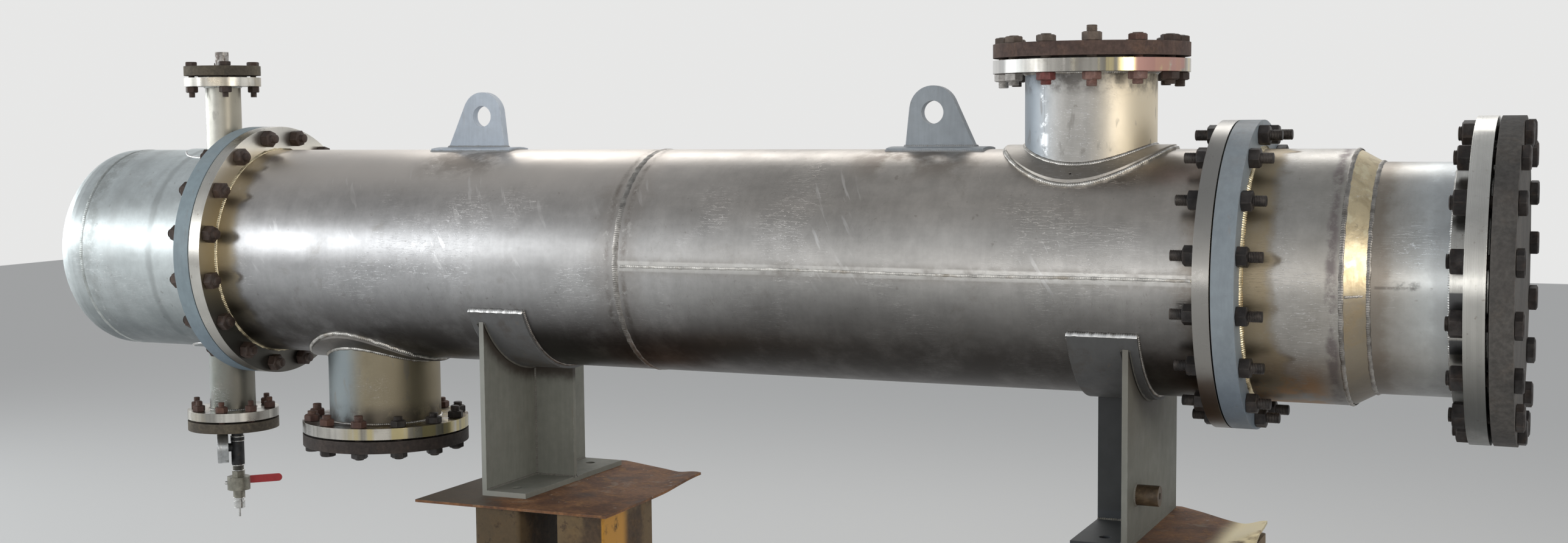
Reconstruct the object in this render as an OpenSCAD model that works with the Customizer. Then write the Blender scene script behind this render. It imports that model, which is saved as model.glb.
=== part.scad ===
// Shell and tube heat exchanger on two saddles, held on two shop stools for a pressure test.
// Millimetres, +Z up, +X along the shell towards the reducing end, floor at Z = 0.
// The origin is on the floor under the middle of the whole object.

/* [Shell] */
// Outside diameter of the shell, the bonnet and the channel barrel
shell_od = 508; // [450:0.1:560]
// Plate thickness of the shell, the bonnet and the channel
shell_wall = 9.53; // [6:0.01:16]
// Height of the shell axis above the floor
axis_z = 1200; // [1000:1:1500]
// Distance from the left body gasket to the right body gasket, middle to middle
gasket_span = 2444; // [1800:1:3000]
// Distance from the left body gasket to the girth seam of the shell
seam_x = 1138; // [800:1:1600]

/* [Body flanges] */
// How far the tubesheets and their mating flanges stand out from the shell
body_flange_over = 58.5; // [45:0.5:75]
// Thickness of each tubesheet
tubesheet_t = 32; // [25:0.5:50]
// Thickness of the painted flange that faces each tubesheet
mate_flange_t = 44; // [30:0.5:60]
// Distance from the rim of the body flanges to their bolt circle
body_edge = 25; // [18:0.5:32]
// Diameter of the bolt holes in the body flanges
body_hole_d = 25.4; // [20:0.1:30]
// Number of bolts round each body flange
body_bolts = 16; // [12:4:24]
// Thickness of each body gasket
body_gasket_t = 3; // [1.5:0.1:5]
// Clearance between the body gaskets and the bolt holes
body_gasket_clear = 2.3; // [0.5:0.1:8]

/* [Bonnet] */
// Distance from the left body gasket to the seam of the dished head
head_seam_x = 395; // [300:1:500]
// Length of the straight flange of the dished head
head_skirt = 32; // [20:1:60]
// Depth of the dished part, outside
head_depth = 127; // [90:1:160]

/* [Channel] */
// Distance from the right body gasket to the seam of the reducing cone
cone_x = 231; // [180:1:300]
// Length of the reducing cone
cone_len = 46; // [30:1:120]
// Outside diameter of the neck after the cone
neck_od = 457.2; // [400:0.1:480]
// Distance from the right body gasket to the end gasket, middle to middle
end_span = 491; // [400:1:600]

/* [End closure] */
// How far the end flange and its blind stand out from the neck
end_flange_over = 88.9; // [78:0.1:105]
// Thickness of the end flange without its raised face
end_flange_t = 38; // [30:0.5:50]
// Thickness of the end blind without its raised face
end_blind_t = 42; // [30:0.5:60]
// Distance from the rim of the end flange to its bolt circle
end_edge = 28.575; // [24:0.005:34]
// Diameter of the bolt holes in the end flange
end_hole_d = 31.75; // [25:0.05:36]
// Number of bolts round the end flange
end_bolts = 16; // [12:4:24]
// Distance from the raised face of the end flange out to its bolt holes
end_face_clear = 6.35; // [2:0.05:12]
// How far the hub behind the end flange stands out from the neck
end_hub_over = 21.4; // [12:0.1:30]
// Length of the hub behind the end flange
end_hub_len = 28; // [10:0.5:45]
// Diameter of the bolts of the end closure
end_bolt_d = 28.6; // [22:0.1:30]
// Width across the flats of the bolt heads and nuts of the end closure
end_hex = 46; // [38:0.5:50]
// Height of the bolt heads of the end closure
end_head_t = 17; // [12:0.5:22]
// Height of the nuts of the end closure
end_nut_t = 25; // [18:0.5:30]
// Length of the bolt ends that stand out of the nuts
end_tip = 8; // [0:0.5:25]

/* [Large nozzles] */
// Outside diameter of the two large nozzle pipes
big_pipe_od = 273; // [200:0.1:320]
// Wall of the two large nozzle pipes
big_pipe_wall = 9.27; // [5:0.01:15]
// How far the large nozzle flanges stand out from their pipes
big_flange_over = 66.7; // [58:0.1:80]
// Thickness of the large nozzle flanges with the raised face
big_flange_t = 28.6; // [20:0.1:40]
// Thickness of the large blinds with the raised face
big_blind_t = 30.2; // [20:0.1:40]
// Distance from the rim of the large nozzle flanges to their bolt circle
big_edge = 22.225; // [18:0.005:26]
// Diameter of the bolt holes in the large nozzle flanges
big_hole_d = 25.4; // [20:0.1:30]
// Number of bolts in each large nozzle flange
big_bolts = 12; // [8:4:16]
// Distance from the left body gasket to the lower large nozzle
low_nozzle_x = 337; // [250:1:500]
// Distance from the right body gasket back to the upper large nozzle
high_nozzle_in = 310; // [250:1:450]
// Width of the ring of reinforcing pad round each large nozzle
big_pad_w = 39.5; // [25:0.5:90]
// Thickness of the reinforcing pads
big_pad_t = 9.5; // [6:0.1:16]

/* [Bonnet nozzles] */
// Distance from the left body gasket to the two bonnet nozzles
bonnet_nozzle_x = 144; // [120:1:200]
// Outside diameter of the vent pipe
vent_pipe_od = 88.9; // [60:0.1:120]
// How far the vent flange stands out from its pipe
vent_flange_over = 50.8; // [44:0.1:60]
// Distance from the rim of the vent flange to its bolt circle
vent_edge = 19.05; // [15:0.05:22]
// Number of bolts in the vent flange
vent_bolts = 4; // [4:4:8]
// Outside diameter of the drain pipe
drain_pipe_od = 114.3; // [80:0.1:140]
// How far the drain flange stands out from its pipe
drain_flange_over = 57.15; // [50:0.05:70]
// Distance from the rim of the drain flange to its bolt circle
drain_edge = 19.05; // [15:0.05:22]
// Number of bolts in the drain flange
drain_bolts = 8; // [4:4:8]
// Wall of the vent and drain pipes
small_pipe_wall = 5.5; // [3:0.1:8]
// Thickness of the vent and drain flanges with the raised face
small_flange_t = 24; // [18:0.5:30]
// Thickness of the vent and drain blinds with the raised face
small_blind_t = 26; // [18:0.5:30]
// Diameter of the bolt holes in the vent and drain flanges
small_hole_d = 19.05; // [15:0.05:22]
// Height of the pipe stub that stands on the vent blind
stub_len = 36; // [20:1:80]

/* [Nozzle joints] */
// Distance from the shell axis to the gasket face of every nozzle flange
nozzle_reach = 440; // [400:1:500]
// Height of the raised faces
raised_face_t = 1.6; // [1:0.1:3]
// Thickness of the gaskets under the blinds
nozzle_gasket_t = 2; // [1:0.1:4]

/* [Test rig] */
// Outside diameter of the test pipe and the vent stub
test_pipe_od = 33.4; // [20:0.1:40]
// Diameter of the pressure gauge
gauge_d = 80; // [60:1:110]
// Thickness of the pressure gauge case
gauge_t = 27; // [20:1:40]
// Distance from the drain blind down to the gauge axis
gauge_below = 52; // [42:1:70]
// Distance from the drain blind down to the stem of the test valve
valve_below = 146; // [130:1:180]
// Distance from the axis of the bonnet nozzles to the test pipe
test_pipe_off = 10; // [0:0.5:15]
// Length of the valve lever from its stem to its end
lever_len = 114; // [90:1:180]
// Angle of the valve lever from the shell axis, seen from above
lever_dir = 45; // [0:1:60]
// Width of the valve lever
lever_w = 20; // [14:1:30]
// Thickness of the valve lever
lever_t = 4; // [3:0.5:8]
// Gap round the valve stem in the lever
stem_gap = 0.05; // [0.02:0.01:0.1]

/* [Lifting lugs] */
// Distance from the left body gasket to the left lug
left_lug_x = 645; // [500:1:800]
// Distance from the right body gasket back to the right lug
right_lug_in = 656; // [500:1:800]
// Reach of each lug's foot from its eye, away from the middle of the shell
lug_out = 95; // [60:1:120]
// Reach of each lug's foot from its eye, towards the middle of the shell
lug_in = 62; // [55:1:120]
// Thickness of each lug plate
lug_t = 20; // [12:0.5:30]
// Diameter of the eye in each lug
eye_d = 50; // [30:0.5:60]
// Radius of the rounded top of each lug
lug_top_r = 53; // [35:0.5:60]
// Height of the rounded top's centre above the shell surface
lug_up = 84; // [70:1:110]
// How far the eye sits below the centre of the rounded top
eye_below = 4.5; // [0:0.5:12]
// Length of each lug pad along the shell
lug_pad_len = 220; // [190:1:260]
// Distance from the lug's eye to the middle of its pad
lug_pad_off = 15; // [0:1:30]
// Thickness of each lug pad
lug_pad_t = 6; // [4:0.5:16]
// Width of each lug pad across the shell
lug_pad_w = 84; // [60:1:200]

/* [Saddles] */
// Distance from the left body gasket to the outer face of the left saddle
left_saddle_x = 765; // [600:1:900]
// Distance from the right body gasket back to the outer face of the right saddle
right_saddle_in = 174; // [130:1:250]
// Thickness of the saddle webs, ribs and base plates
saddle_t = 12; // [8:0.5:20]
// Depth of each saddle along the shell
saddle_depth = 116; // [90:1:200]
// Distance from the shell axis down to the underside of the saddles
saddle_drop = 538; // [480:1:600]
// Thickness of the curved wear pads
wear_t = 9.5; // [6:0.5:16]
// Length of each wear pad along the shell
wear_len = 143; // [120:1:200]
// Overhang of each wear pad beyond the outer face of the web
wear_over = 20; // [10:1:40]
// Angle of the wear pad's upper edges below the horizontal
wear_edge_deg = 25; // [10:0.5:45]
// Angle by which the wear pad reaches past the top corners of the web
pad_past_web = 6; // [2:0.5:15]
// Distance between the two bolt holes of each saddle
base_hole_span = 340; // [260:1:420]
// Diameter of the bolt holes in the saddle bases
base_hole_d = 24; // [16:0.5:30]
// Distance from the saddle's outer face to its bolt holes
base_hole_in = 58; // [50:1:90]
// Diameter of the earthing boss on the right saddle
boss_d = 42; // [25:1:60]
// Length of the earthing boss
boss_len = 48; // [15:1:60]
// Distance from the front edge of the saddle to the earthing boss
boss_in = 76; // [40:1:120]

/* [Stools] */
// Length of each stool top along the shell
stool_len = 497; // [350:1:600]
// Distance from the shell axis to the front edge of each stool top
stool_front = 322; // [250:1:380]
// Distance from the shell axis to the back edge of the left stool top
left_back = 285; // [250:1:380]
// Length of the left stool top's back edge, before its cut corner
left_back_len = 217; // [150:1:400]
// Distance from the shell axis to the far end of the left stool's cut corner
left_corner = 165; // [60:1:240]
// Distance from the shell axis to the back edge of the right stool top
right_back = 240; // [232:1:380]
// Length of the right stool top's back edge, before its cut corner
right_back_len = 274; // [150:1:400]
// Distance from the shell axis to the far end of the right stool's cut corner
right_corner = 74; // [50:1:240]
// Thickness of each stool top
stool_top_t = 6; // [4:0.5:25]
// Distance from the left saddle's outer face back to the left end of its stool top
left_stool_in = 119; // [60:1:200]
// Distance from the right saddle's outer face back to the left end of its stool top
right_stool_in = 264; // [200:1:300]
// Width of each stool post along the shell
post_w = 118; // [80:1:160]
// Depth of the front posts across the shell
post_d = 238; // [100:1:260]
// Depth of the back posts across the shell
short_post_d = 118; // [80:1:140]
// Wall of the stool posts
post_wall = 8; // [5:0.5:12]
// Distance from the left end of each stool top to its left posts
post_left = 156; // [100:1:180]
// Distance from the right end of each stool top to its right posts
post_right = 11; // [2:1:40]
// Distance from the long edges of the stool top to the posts
post_edge = 4; // [0:1:40]
// Thickness of the stool's foot plates
foot_t = 12; // [8:0.5:25]

/* [Hidden] */
$fn = 96;

shell_r = shell_od / 2;
bore_r = shell_r - shell_wall;
half_gasket = body_gasket_t / 2;
body_flange_r = shell_r + body_flange_over;
body_pcd = 2 * (body_flange_r - body_edge);
body_gasket_r = body_pcd / 2 - body_hole_d / 2 - body_gasket_clear;
high_nozzle_x = gasket_span - high_nozzle_in;
right_lug_x = gasket_span - right_lug_in;
right_saddle_x = gasket_span - right_saddle_in;
// Faces along the shell, measured from the middle of the left body gasket
bonnet_back = -half_gasket - mate_flange_t;
head_end = -head_seam_x - head_skirt - head_depth;
left_sheet_end = half_gasket + tubesheet_t;
right_sheet_start = gasket_span - half_gasket - tubesheet_t;
channel_face = gasket_span + half_gasket;
channel_back = channel_face + mate_flange_t;
cone_start = gasket_span + cone_x;
cone_end = cone_start + cone_len;
end_gasket_x = gasket_span + end_span;
end_gasket_t = body_gasket_t;
end_face = end_gasket_x - end_gasket_t / 2;
end_flange_back = end_face - raised_face_t - end_flange_t;
blind_face = end_gasket_x + end_gasket_t / 2;
blind_back = blind_face + raised_face_t + end_blind_t;
right_end = blind_back + end_head_t;
neck_r = neck_od / 2;
end_flange_od = neck_od + 2 * end_flange_over;
end_hub_od = neck_od + 2 * end_hub_over;
end_pcd = end_flange_od - 2 * end_edge;
end_face_r = end_pcd / 2 - end_hole_d / 2 - end_face_clear;
// Shift that puts the origin under the middle of the whole object
shift_x = -(head_end + right_end) / 2;

// The neck stops short of the end flange's face for its seal weld
neck_setback = 8;
big_r = big_pipe_od / 2;
big_flange_od = big_pipe_od + 2 * big_flange_over;
big_pcd = big_flange_od - 2 * big_edge;
big_pad_od = big_pipe_od + 2 * big_pad_w;
vent_flange_od = vent_pipe_od + 2 * vent_flange_over;
vent_pcd = vent_flange_od - 2 * vent_edge;
drain_flange_od = drain_pipe_od + 2 * drain_flange_over;
drain_pcd = drain_flange_od - 2 * drain_edge;
blind_at = nozzle_reach + nozzle_gasket_t;
drain_blind_end = blind_at + small_blind_t;
gauge_drop = drain_blind_end + gauge_below;
valve_drop = drain_blind_end + valve_below;
gauge_dir = 220;      // the gauge looks this way round from +X, left along the photo
nipple_r = 15;        // the upper part of the test pipe
nut_r = 17.5;         // the ring nut above the tee
nut_up = 30;          // from the gauge axis up to the top of the ring nut
nut_len = 13;
branch_r = 11;
gauge_off = 23;       // from the test pipe's axis to the back of the gauge
tee_down = 47;        // from the gauge axis down to the end of the tee
thread_r = 13.5;
valve_r = 29;
valve_half = 17;
collar_r = 17;
collar_len = 15;
outlet_r = 15;
outlet_len = 21;
stem_r = 7;
bonnet_r = 13;
lever_gap = 6;        // between the valve body and the lever
lever_play = 0.3;     // between the stem's collar and the lever
lever_boss_r = 16;
plug_r = 12;
plug_len = 9;
cap_r = 14;
cap_len = 17;
tip_r = 3;
tip_len = 25;
saddle_top_z = -saddle_drop + saddle_t;
stool_z = axis_z - saddle_drop;
post_h = stool_z - stool_top_t - foot_t;
cut = 5;              // how far a cutter reaches past the face it cuts
weep_d = 6;

// A cylinder along X from x0 to x1, in shell coordinates
module xcyl(x0, x1, r, fn = 128) {
  translate([x0, 0, 0]) rotate([0, 90, 0]) cylinder(r = r, h = x1 - x0, $fn = fn);
}

// A pipe along X
module xpipe(x0, x1, ro, ri, fn = 128) {
  difference() {
    xcyl(x0, x1, ro, fn);
    xcyl(x0 - cut, x1 + cut, ri, fn);
  }
}

// Bolt holes along X that straddle the centrelines
module xholes(x0, x1, pcd, count, d) {
  for (k = [0 : count - 1])
    rotate([(k + 0.5) * 360 / count, 0, 0])
      translate([0, pcd / 2, 0]) xcyl(x0 - cut, x1 + cut, d / 2, 24);
}

// Bolt holes along Z that straddle the centrelines
module zholes(z0, z1, pcd, count, d) {
  for (k = [0 : count - 1])
    rotate([0, 0, (k + 0.5) * 360 / count])
      translate([pcd / 2, 0, z0 - cut]) cylinder(r = d / 2, h = z1 - z0 + 2 * cut, $fn = 24);
}

// Moves a piece from shell coordinates to its place above the floor
module place() {
  translate([shift_x, 0, axis_z]) children();
}

// Moves a piece to a nozzle on the shell: up is 1 for the top and -1 for the bottom
module at_nozzle(x, up) {
  translate([x, 0, 0]) rotate([up > 0 ? 0 : 180, 0, 0]) children();
}

// A nozzle pipe from the shell's surface to just short of its flange face
module nozzle_pipe(od, wall) {
  difference() {
    cylinder(r = od / 2, h = nozzle_reach - nozzle_setback, $fn = 64);
    translate([0, 0, -cut]) cylinder(r = od / 2 - wall, h = nozzle_reach + cut, $fn = 64);
    xcyl(-od, od, shell_r);
  }
}
nozzle_setback = 6;

// A plate flange with a raised face, its gasket face at the nozzle's reach
module nozzle_flange(od, t, pipe_od, pcd, count, hole) {
  difference() {
    union() {
      translate([0, 0, nozzle_reach - t])
        cylinder(r = od / 2, h = t - raised_face_t, $fn = 96);
      translate([0, 0, nozzle_reach - t])
        cylinder(r = pcd / 2 - hole / 2 - face_in, h = t, $fn = 96);
    }
    translate([0, 0, nozzle_reach - t - cut]) cylinder(r = pipe_od / 2, h = t + 2 * cut, $fn = 64);
    zholes(nozzle_reach - t, nozzle_reach, pcd, count, hole);
  }
}
face_in = 6;

// A blind flange with a raised face, outside the gasket
module nozzle_blind(od, t, pcd, count, hole) {
  difference() {
    union() {
      translate([0, 0, blind_at + raised_face_t])
        cylinder(r = od / 2, h = t - raised_face_t, $fn = 96);
      translate([0, 0, blind_at])
        cylinder(r = pcd / 2 - hole / 2 - face_in, h = t, $fn = 96);
    }
    zholes(blind_at, blind_at + t, pcd, count, hole);
  }
}

// The gasket between a nozzle flange and its blind
module nozzle_gasket(pipe_od, pcd, hole) {
  translate([0, 0, nozzle_reach]) difference() {
    cylinder(r = pcd / 2 - hole / 2 - face_in, h = nozzle_gasket_t, $fn = 96);
    translate([0, 0, -cut]) cylinder(r = pipe_od / 2, h = nozzle_gasket_t + 2 * cut, $fn = 64);
  }
}

// A round reinforcing pad that follows the shell
module nozzle_pad() {
  difference() {
    intersection() {
      xcyl(-big_pad_od, big_pad_od, shell_r + big_pad_t);
      cylinder(r = big_pad_od / 2, h = shell_r + 2 * big_pad_t, $fn = 96);
    }
    xcyl(-big_pad_od - cut, big_pad_od + cut, shell_r);
    cylinder(r = big_r, h = nozzle_reach, $fn = 64);
    // The telltale hole of the pad
    rotate([weep_tilt, 0, 0]) translate([0, 0, shell_r])
      cylinder(r = weep_d / 2, h = 2 * big_pad_t, $fn = 16);
  }
}
weep_tilt = 38;

// The hole in the shell under a nozzle
module shell_opening(x, up, od, wall) {
  at_nozzle(x, up) cylinder(r = od / 2 - wall, h = shell_r + cut, $fn = 64);
}

module bonnet_head() {
  color("lightgrey") place() translate([-head_seam_x, 0, 0]) rotate([0, -90, 0]) rotate_extrude($fn = 128)
    polygon(concat(
      [[shell_r, 0]], [for (i = [0 : dish_steps])
        let (a = 90 * i / dish_steps)
          [i == dish_steps ? 0 : shell_r * cos(a), head_skirt + head_depth * sin(a)]],
      [for (i = [dish_steps : -1 : 0])
        let (a = 90 * i / dish_steps)
          [i == dish_steps ? 0 : bore_r * cos(a), head_skirt + (head_depth - shell_wall) * sin(a)]],
      [[bore_r, 0]]));
}
dish_steps = 14;

module bonnet_barrel() {
  color("lightgrey") place() difference() {
    xpipe(-head_seam_x, bonnet_back, shell_r, bore_r);
    shell_opening(-bonnet_nozzle_x, 1, vent_pipe_od, small_pipe_wall);
    shell_opening(-bonnet_nozzle_x, -1, drain_pipe_od, small_pipe_wall);
  }
}

module mate_flange(x0, x1) {
  difference() {
    xpipe(x0, x1, body_flange_r, bore_r);
    xholes(x0, x1, body_pcd, body_bolts, body_hole_d);
  }
}

module bonnet_flange() {
  color("silver") place() mate_flange(bonnet_back, -half_gasket);
}

module body_gaskets() {
  color("dimgrey") place() {
    xpipe(-half_gasket, half_gasket, body_gasket_r, bore_r);
    xpipe(gasket_span - half_gasket, channel_face, body_gasket_r, bore_r);
  }
}

module tubesheet(x0, x1) {
  difference() {
    xcyl(x0, x1, body_flange_r);
    xholes(x0, x1, body_pcd, body_bolts, body_hole_d);
  }
}

module left_tubesheet() {
  color("silver") place() tubesheet(half_gasket, left_sheet_end);
}

module shell_left() {
  color("lightgrey") place() difference() {
    xpipe(left_sheet_end, seam_x, shell_r, bore_r);
    shell_opening(low_nozzle_x, -1, big_pipe_od, big_pipe_wall);
  }
}

module shell_right() {
  color("lightgrey") place() difference() {
    xpipe(seam_x, right_sheet_start, shell_r, bore_r);
    shell_opening(high_nozzle_x, 1, big_pipe_od, big_pipe_wall);
  }
}

module right_tubesheet() {
  color("silver") place() tubesheet(right_sheet_start, gasket_span - half_gasket);
}

module channel_flange() {
  color("silver") place() mate_flange(channel_face, channel_back);
}

module channel_barrel() {
  color("lightgrey") place() xpipe(channel_back, cone_start, shell_r, bore_r);
}

module channel_cone() {
  color("lightgrey") place() translate([cone_start, 0, 0]) rotate([0, 90, 0]) rotate_extrude($fn = 128)
    polygon([[shell_r, 0], [neck_r, cone_len], [neck_r - shell_wall, cone_len], [bore_r, 0]]);
}

module channel_neck() {
  color("lightgrey") place() xpipe(cone_end, end_face - neck_setback, neck_r, neck_r - shell_wall);
}

module end_flange() {
  color("silver") place() difference() {
    union() {
      xcyl(end_flange_back, end_flange_back + end_flange_t, end_flange_od / 2);
      xcyl(end_flange_back, end_face, end_face_r);
      xcyl(end_flange_back - end_hub_len, end_flange_back + cut, end_hub_od / 2);
    }
    xcyl(end_flange_back - end_hub_len - cut, end_face + cut, neck_r);
    xholes(end_flange_back, end_face, end_pcd, end_bolts, end_hole_d);
  }
}

module end_gasket() {
  color("dimgrey") place() xpipe(end_face, blind_face, end_face_r, neck_r);
}

module end_blind() {
  color("saddlebrown") place() difference() {
    union() {
      xcyl(blind_face + raised_face_t, blind_back, end_flange_od / 2);
      xcyl(blind_face, blind_back, end_face_r);
    }
    xholes(blind_face, blind_back, end_pcd, end_bolts, end_hole_d);
  }
}

// The bolts of the end closure, heads outside and nuts behind the end flange
module end_studs() {
  color("dimgrey") place() for (k = [0 : end_bolts - 1])
    rotate([(k + 0.5) * 360 / end_bolts, 0, 0]) translate([0, end_pcd / 2, 0]) {
      xcyl(end_flange_back - end_nut_t - end_tip, blind_back + cut, end_bolt_d / 2, 32);
      xcyl(blind_back, right_end, end_hex_r, 6);
      xcyl(end_flange_back - end_nut_t, end_flange_back, end_hex_r, 6);
    }
}
end_hex_r = end_hex / sqrt(3);

module vent_pipe() {
  color("lightgrey") place() at_nozzle(-bonnet_nozzle_x, 1) nozzle_pipe(vent_pipe_od, small_pipe_wall);
}

module vent_flange() {
  color("silver") place() at_nozzle(-bonnet_nozzle_x, 1)
    nozzle_flange(vent_flange_od, small_flange_t, vent_pipe_od, vent_pcd, vent_bolts, small_hole_d);
}

module vent_blind() {
  color("sienna") place() at_nozzle(-bonnet_nozzle_x, 1)
    difference() {
      nozzle_blind(vent_flange_od, small_blind_t, vent_pcd, vent_bolts, small_hole_d);
      translate([0, 0, blind_at - cut])
        cylinder(r = test_pipe_od / 2 - stub_wall, h = small_blind_t + 2 * cut, $fn = 32);
    }
}
stub_wall = 4.5;

module vent_stub() {
  color("silver") place() at_nozzle(-bonnet_nozzle_x, 1) translate([0, 0, drain_blind_end])
    difference() {
      cylinder(r = test_pipe_od / 2, h = stub_len, $fn = 48);
      translate([0, 0, -cut]) cylinder(r = test_pipe_od / 2 - stub_wall, h = stub_len + 2 * cut, $fn = 48);
    }
}

module drain_pipe() {
  color("lightgrey") place() at_nozzle(-bonnet_nozzle_x, -1) nozzle_pipe(drain_pipe_od, small_pipe_wall);
}

module drain_flange() {
  color("silver") place() at_nozzle(-bonnet_nozzle_x, -1)
    nozzle_flange(drain_flange_od, small_flange_t, drain_pipe_od, drain_pcd, drain_bolts, small_hole_d);
}

module drain_blind() {
  color("sienna") place() at_nozzle(-bonnet_nozzle_x, -1) difference() {
    nozzle_blind(drain_flange_od, small_blind_t, drain_pcd, drain_bolts, small_hole_d);
    translate([test_pipe_off, 0, blind_at - cut])
      cylinder(r = pipe_bore_r, h = small_blind_t + 2 * cut, $fn = 32);
  }
}

// Moves a piece to the test pipe, with Z up and the shell axis at Z = 0
module at_test_pipe() {
  place() translate([test_pipe_off - bonnet_nozzle_x, 0, 0]) children();
}

module test_tee() {
  color("dimgrey") at_test_pipe() difference() {
    union() {
      translate([0, 0, -gauge_drop]) cylinder(r = nipple_r, h = gauge_below, $fn = 48);
      translate([0, 0, -gauge_drop + nut_up - nut_len]) cylinder(r = nut_r, h = nut_len, $fn = 48);
      translate([0, 0, -gauge_drop - tee_down])
        cylinder(r = test_pipe_od / 2, h = tee_down + nut_up - nut_len, $fn = 48);
      translate([0, 0, -valve_top]) cylinder(r = thread_r, h = valve_top - gauge_drop, $fn = 48);
      translate([0, 0, -gauge_drop]) rotate([0, 0, gauge_dir]) rotate([0, 90, 0])
        cylinder(r = branch_r, h = gauge_off, $fn = 40);
    }
    translate([0, 0, -valve_top - cut])
      cylinder(r = pipe_bore_r, h = valve_top - drain_blind_end + 2 * cut, $fn = 32);
  }
}
valve_top = valve_drop - valve_half - collar_len;
pipe_bore_r = 9;

module pressure_gauge() {
  color("lightgrey") at_test_pipe() translate([0, 0, -gauge_drop])
    rotate([0, 0, gauge_dir]) rotate([0, 90, 0]) translate([0, 0, gauge_off]) difference() {
      cylinder(r = gauge_d / 2, h = gauge_t, $fn = 72);
      // The dial is set back behind the bezel
      translate([0, 0, gauge_t - dial_in]) cylinder(r = gauge_d / 2 - bezel_w, h = dial_in + cut, $fn = 72);
    }
}
dial_in = 5;
bezel_w = 5;

// Moves a piece to the stem of the test valve: X along the lever, Z out along the stem
module at_stem() {
  at_test_pipe() translate([0, 0, -valve_drop]) rotate([0, 0, lever_dir]) rotate([-90, 0, 0]) children();
}

module test_valve() {
  color("darkkhaki") {
    at_test_pipe() {
      translate([0, 0, -valve_top - collar_len]) cylinder(r = collar_r, h = collar_len, $fn = 6);
      translate([0, 0, -valve_drop - valve_half]) cylinder(r = valve_r, h = 2 * valve_half, $fn = 48);
      translate([0, 0, -valve_bottom]) cylinder(r = outlet_r, h = outlet_len, $fn = 48);
    }
    at_stem() translate([0, 0, valve_half]) {
      cylinder(r = bonnet_r, h = valve_r + lever_gap - lever_play - valve_half, $fn = 48);
      cylinder(r = stem_r, h = valve_r + lever_gap + lever_t + stem_over - valve_half, $fn = 32);
    }
  }
}
valve_bottom = valve_drop + valve_half + outlet_len;
stem_over = 8;

module valve_lever() {
  color("firebrick") at_stem() translate([0, 0, valve_r + lever_gap])
    difference() {
      union() {
        cylinder(r = lever_boss_r, h = lever_t, $fn = 48);
        translate([0, -lever_w / 2, 0]) cube([lever_len - lever_w / 2, lever_w, lever_t]);
        translate([lever_len - lever_w / 2, 0, 0]) cylinder(r = lever_w / 2, h = lever_t, $fn = 36);
      }
      translate([0, 0, -cut]) cylinder(r = stem_r + stem_gap, h = lever_t + 2 * cut, $fn = 32);
    }
}

module hose_fitting() {
  color("silver") at_test_pipe() translate([0, 0, -valve_bottom]) {
    translate([0, 0, -plug_len]) cylinder(r = plug_r, h = plug_len, $fn = 40);
    translate([0, 0, -plug_len - cap_len]) cylinder(r = cap_r, h = cap_len, $fn = 40);
    translate([0, 0, -plug_len - cap_len - tip_len]) cylinder(r = tip_r, h = tip_len, $fn = 24);
  }
}

module high_pipe() {
  color("lightgrey") place() at_nozzle(high_nozzle_x, 1) nozzle_pipe(big_pipe_od, big_pipe_wall);
}

module high_flange() {
  color("silver") place() at_nozzle(high_nozzle_x, 1)
    nozzle_flange(big_flange_od, big_flange_t, big_pipe_od, big_pcd, big_bolts, big_hole_d);
}

module high_blind() {
  color("saddlebrown") place() at_nozzle(high_nozzle_x, 1)
    nozzle_blind(big_flange_od, big_blind_t, big_pcd, big_bolts, big_hole_d);
}

module low_pipe() {
  color("lightgrey") place() at_nozzle(low_nozzle_x, -1) nozzle_pipe(big_pipe_od, big_pipe_wall);
}

module low_flange() {
  color("silver") place() at_nozzle(low_nozzle_x, -1)
    nozzle_flange(big_flange_od, big_flange_t, big_pipe_od, big_pcd, big_bolts, big_hole_d);
}

module low_blind() {
  color("saddlebrown") place() at_nozzle(low_nozzle_x, -1)
    nozzle_blind(big_flange_od, big_blind_t, big_pcd, big_bolts, big_hole_d);
}

module nozzle_pads() {
  color("lightgrey") place() {
    at_nozzle(high_nozzle_x, 1) nozzle_pad();
    at_nozzle(low_nozzle_x, -1) nozzle_pad();
  }
}

module nozzle_gaskets() {
  color("dimgrey") place() {
    at_nozzle(high_nozzle_x, 1) nozzle_gasket(big_pipe_od, big_pcd, big_hole_d);
    at_nozzle(low_nozzle_x, -1) nozzle_gasket(big_pipe_od, big_pcd, big_hole_d);
    at_nozzle(-bonnet_nozzle_x, 1) nozzle_gasket(vent_pipe_od, vent_pcd, small_hole_d);
    at_nozzle(-bonnet_nozzle_x, -1) nozzle_gasket(drain_pipe_od, drain_pcd, small_hole_d);
  }
}

// One lifting lug: a plate in the plane of the shell axis with a round eye, its longer foot towards -X
module lug() {
  translate([0, lug_t / 2, lug_centre]) rotate([90, 0, 0]) difference() {
    union() {
      cylinder(r = lug_top_r, h = lug_t, $fn = 64);
      linear_extrude(lug_t)
        polygon([[-lug_out, -lug_foot], [lug_in, -lug_foot],
          [lug_top_r * cos(lean(lug_in)), lug_top_r * sin(lean(lug_in))],
          [-lug_top_r * cos(lean(lug_out)), lug_top_r * sin(lean(lug_out))]]);
    }
    translate([0, -eye_below, -cut]) cylinder(r = eye_d / 2, h = lug_t + 2 * cut, $fn = 48);
  }
}
lug_centre = shell_r + lug_up;
lug_foot = lug_up - lug_pad_t;
// Angle of the point where a straight side with this reach touches the rounded top
function lean(reach) = atan2(-lug_foot, reach) + acos(lug_top_r / norm([reach, lug_foot]));

// Puts the left lug's pieces in place, and mirrors them for the right lug
module at_lugs() {
  place() {
    translate([left_lug_x, 0, 0]) children();
    translate([right_lug_x, 0, 0]) mirror([1, 0, 0]) children();
  }
}

module lifting_lugs() {
  color("gainsboro") at_lugs() lug();
}

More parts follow.
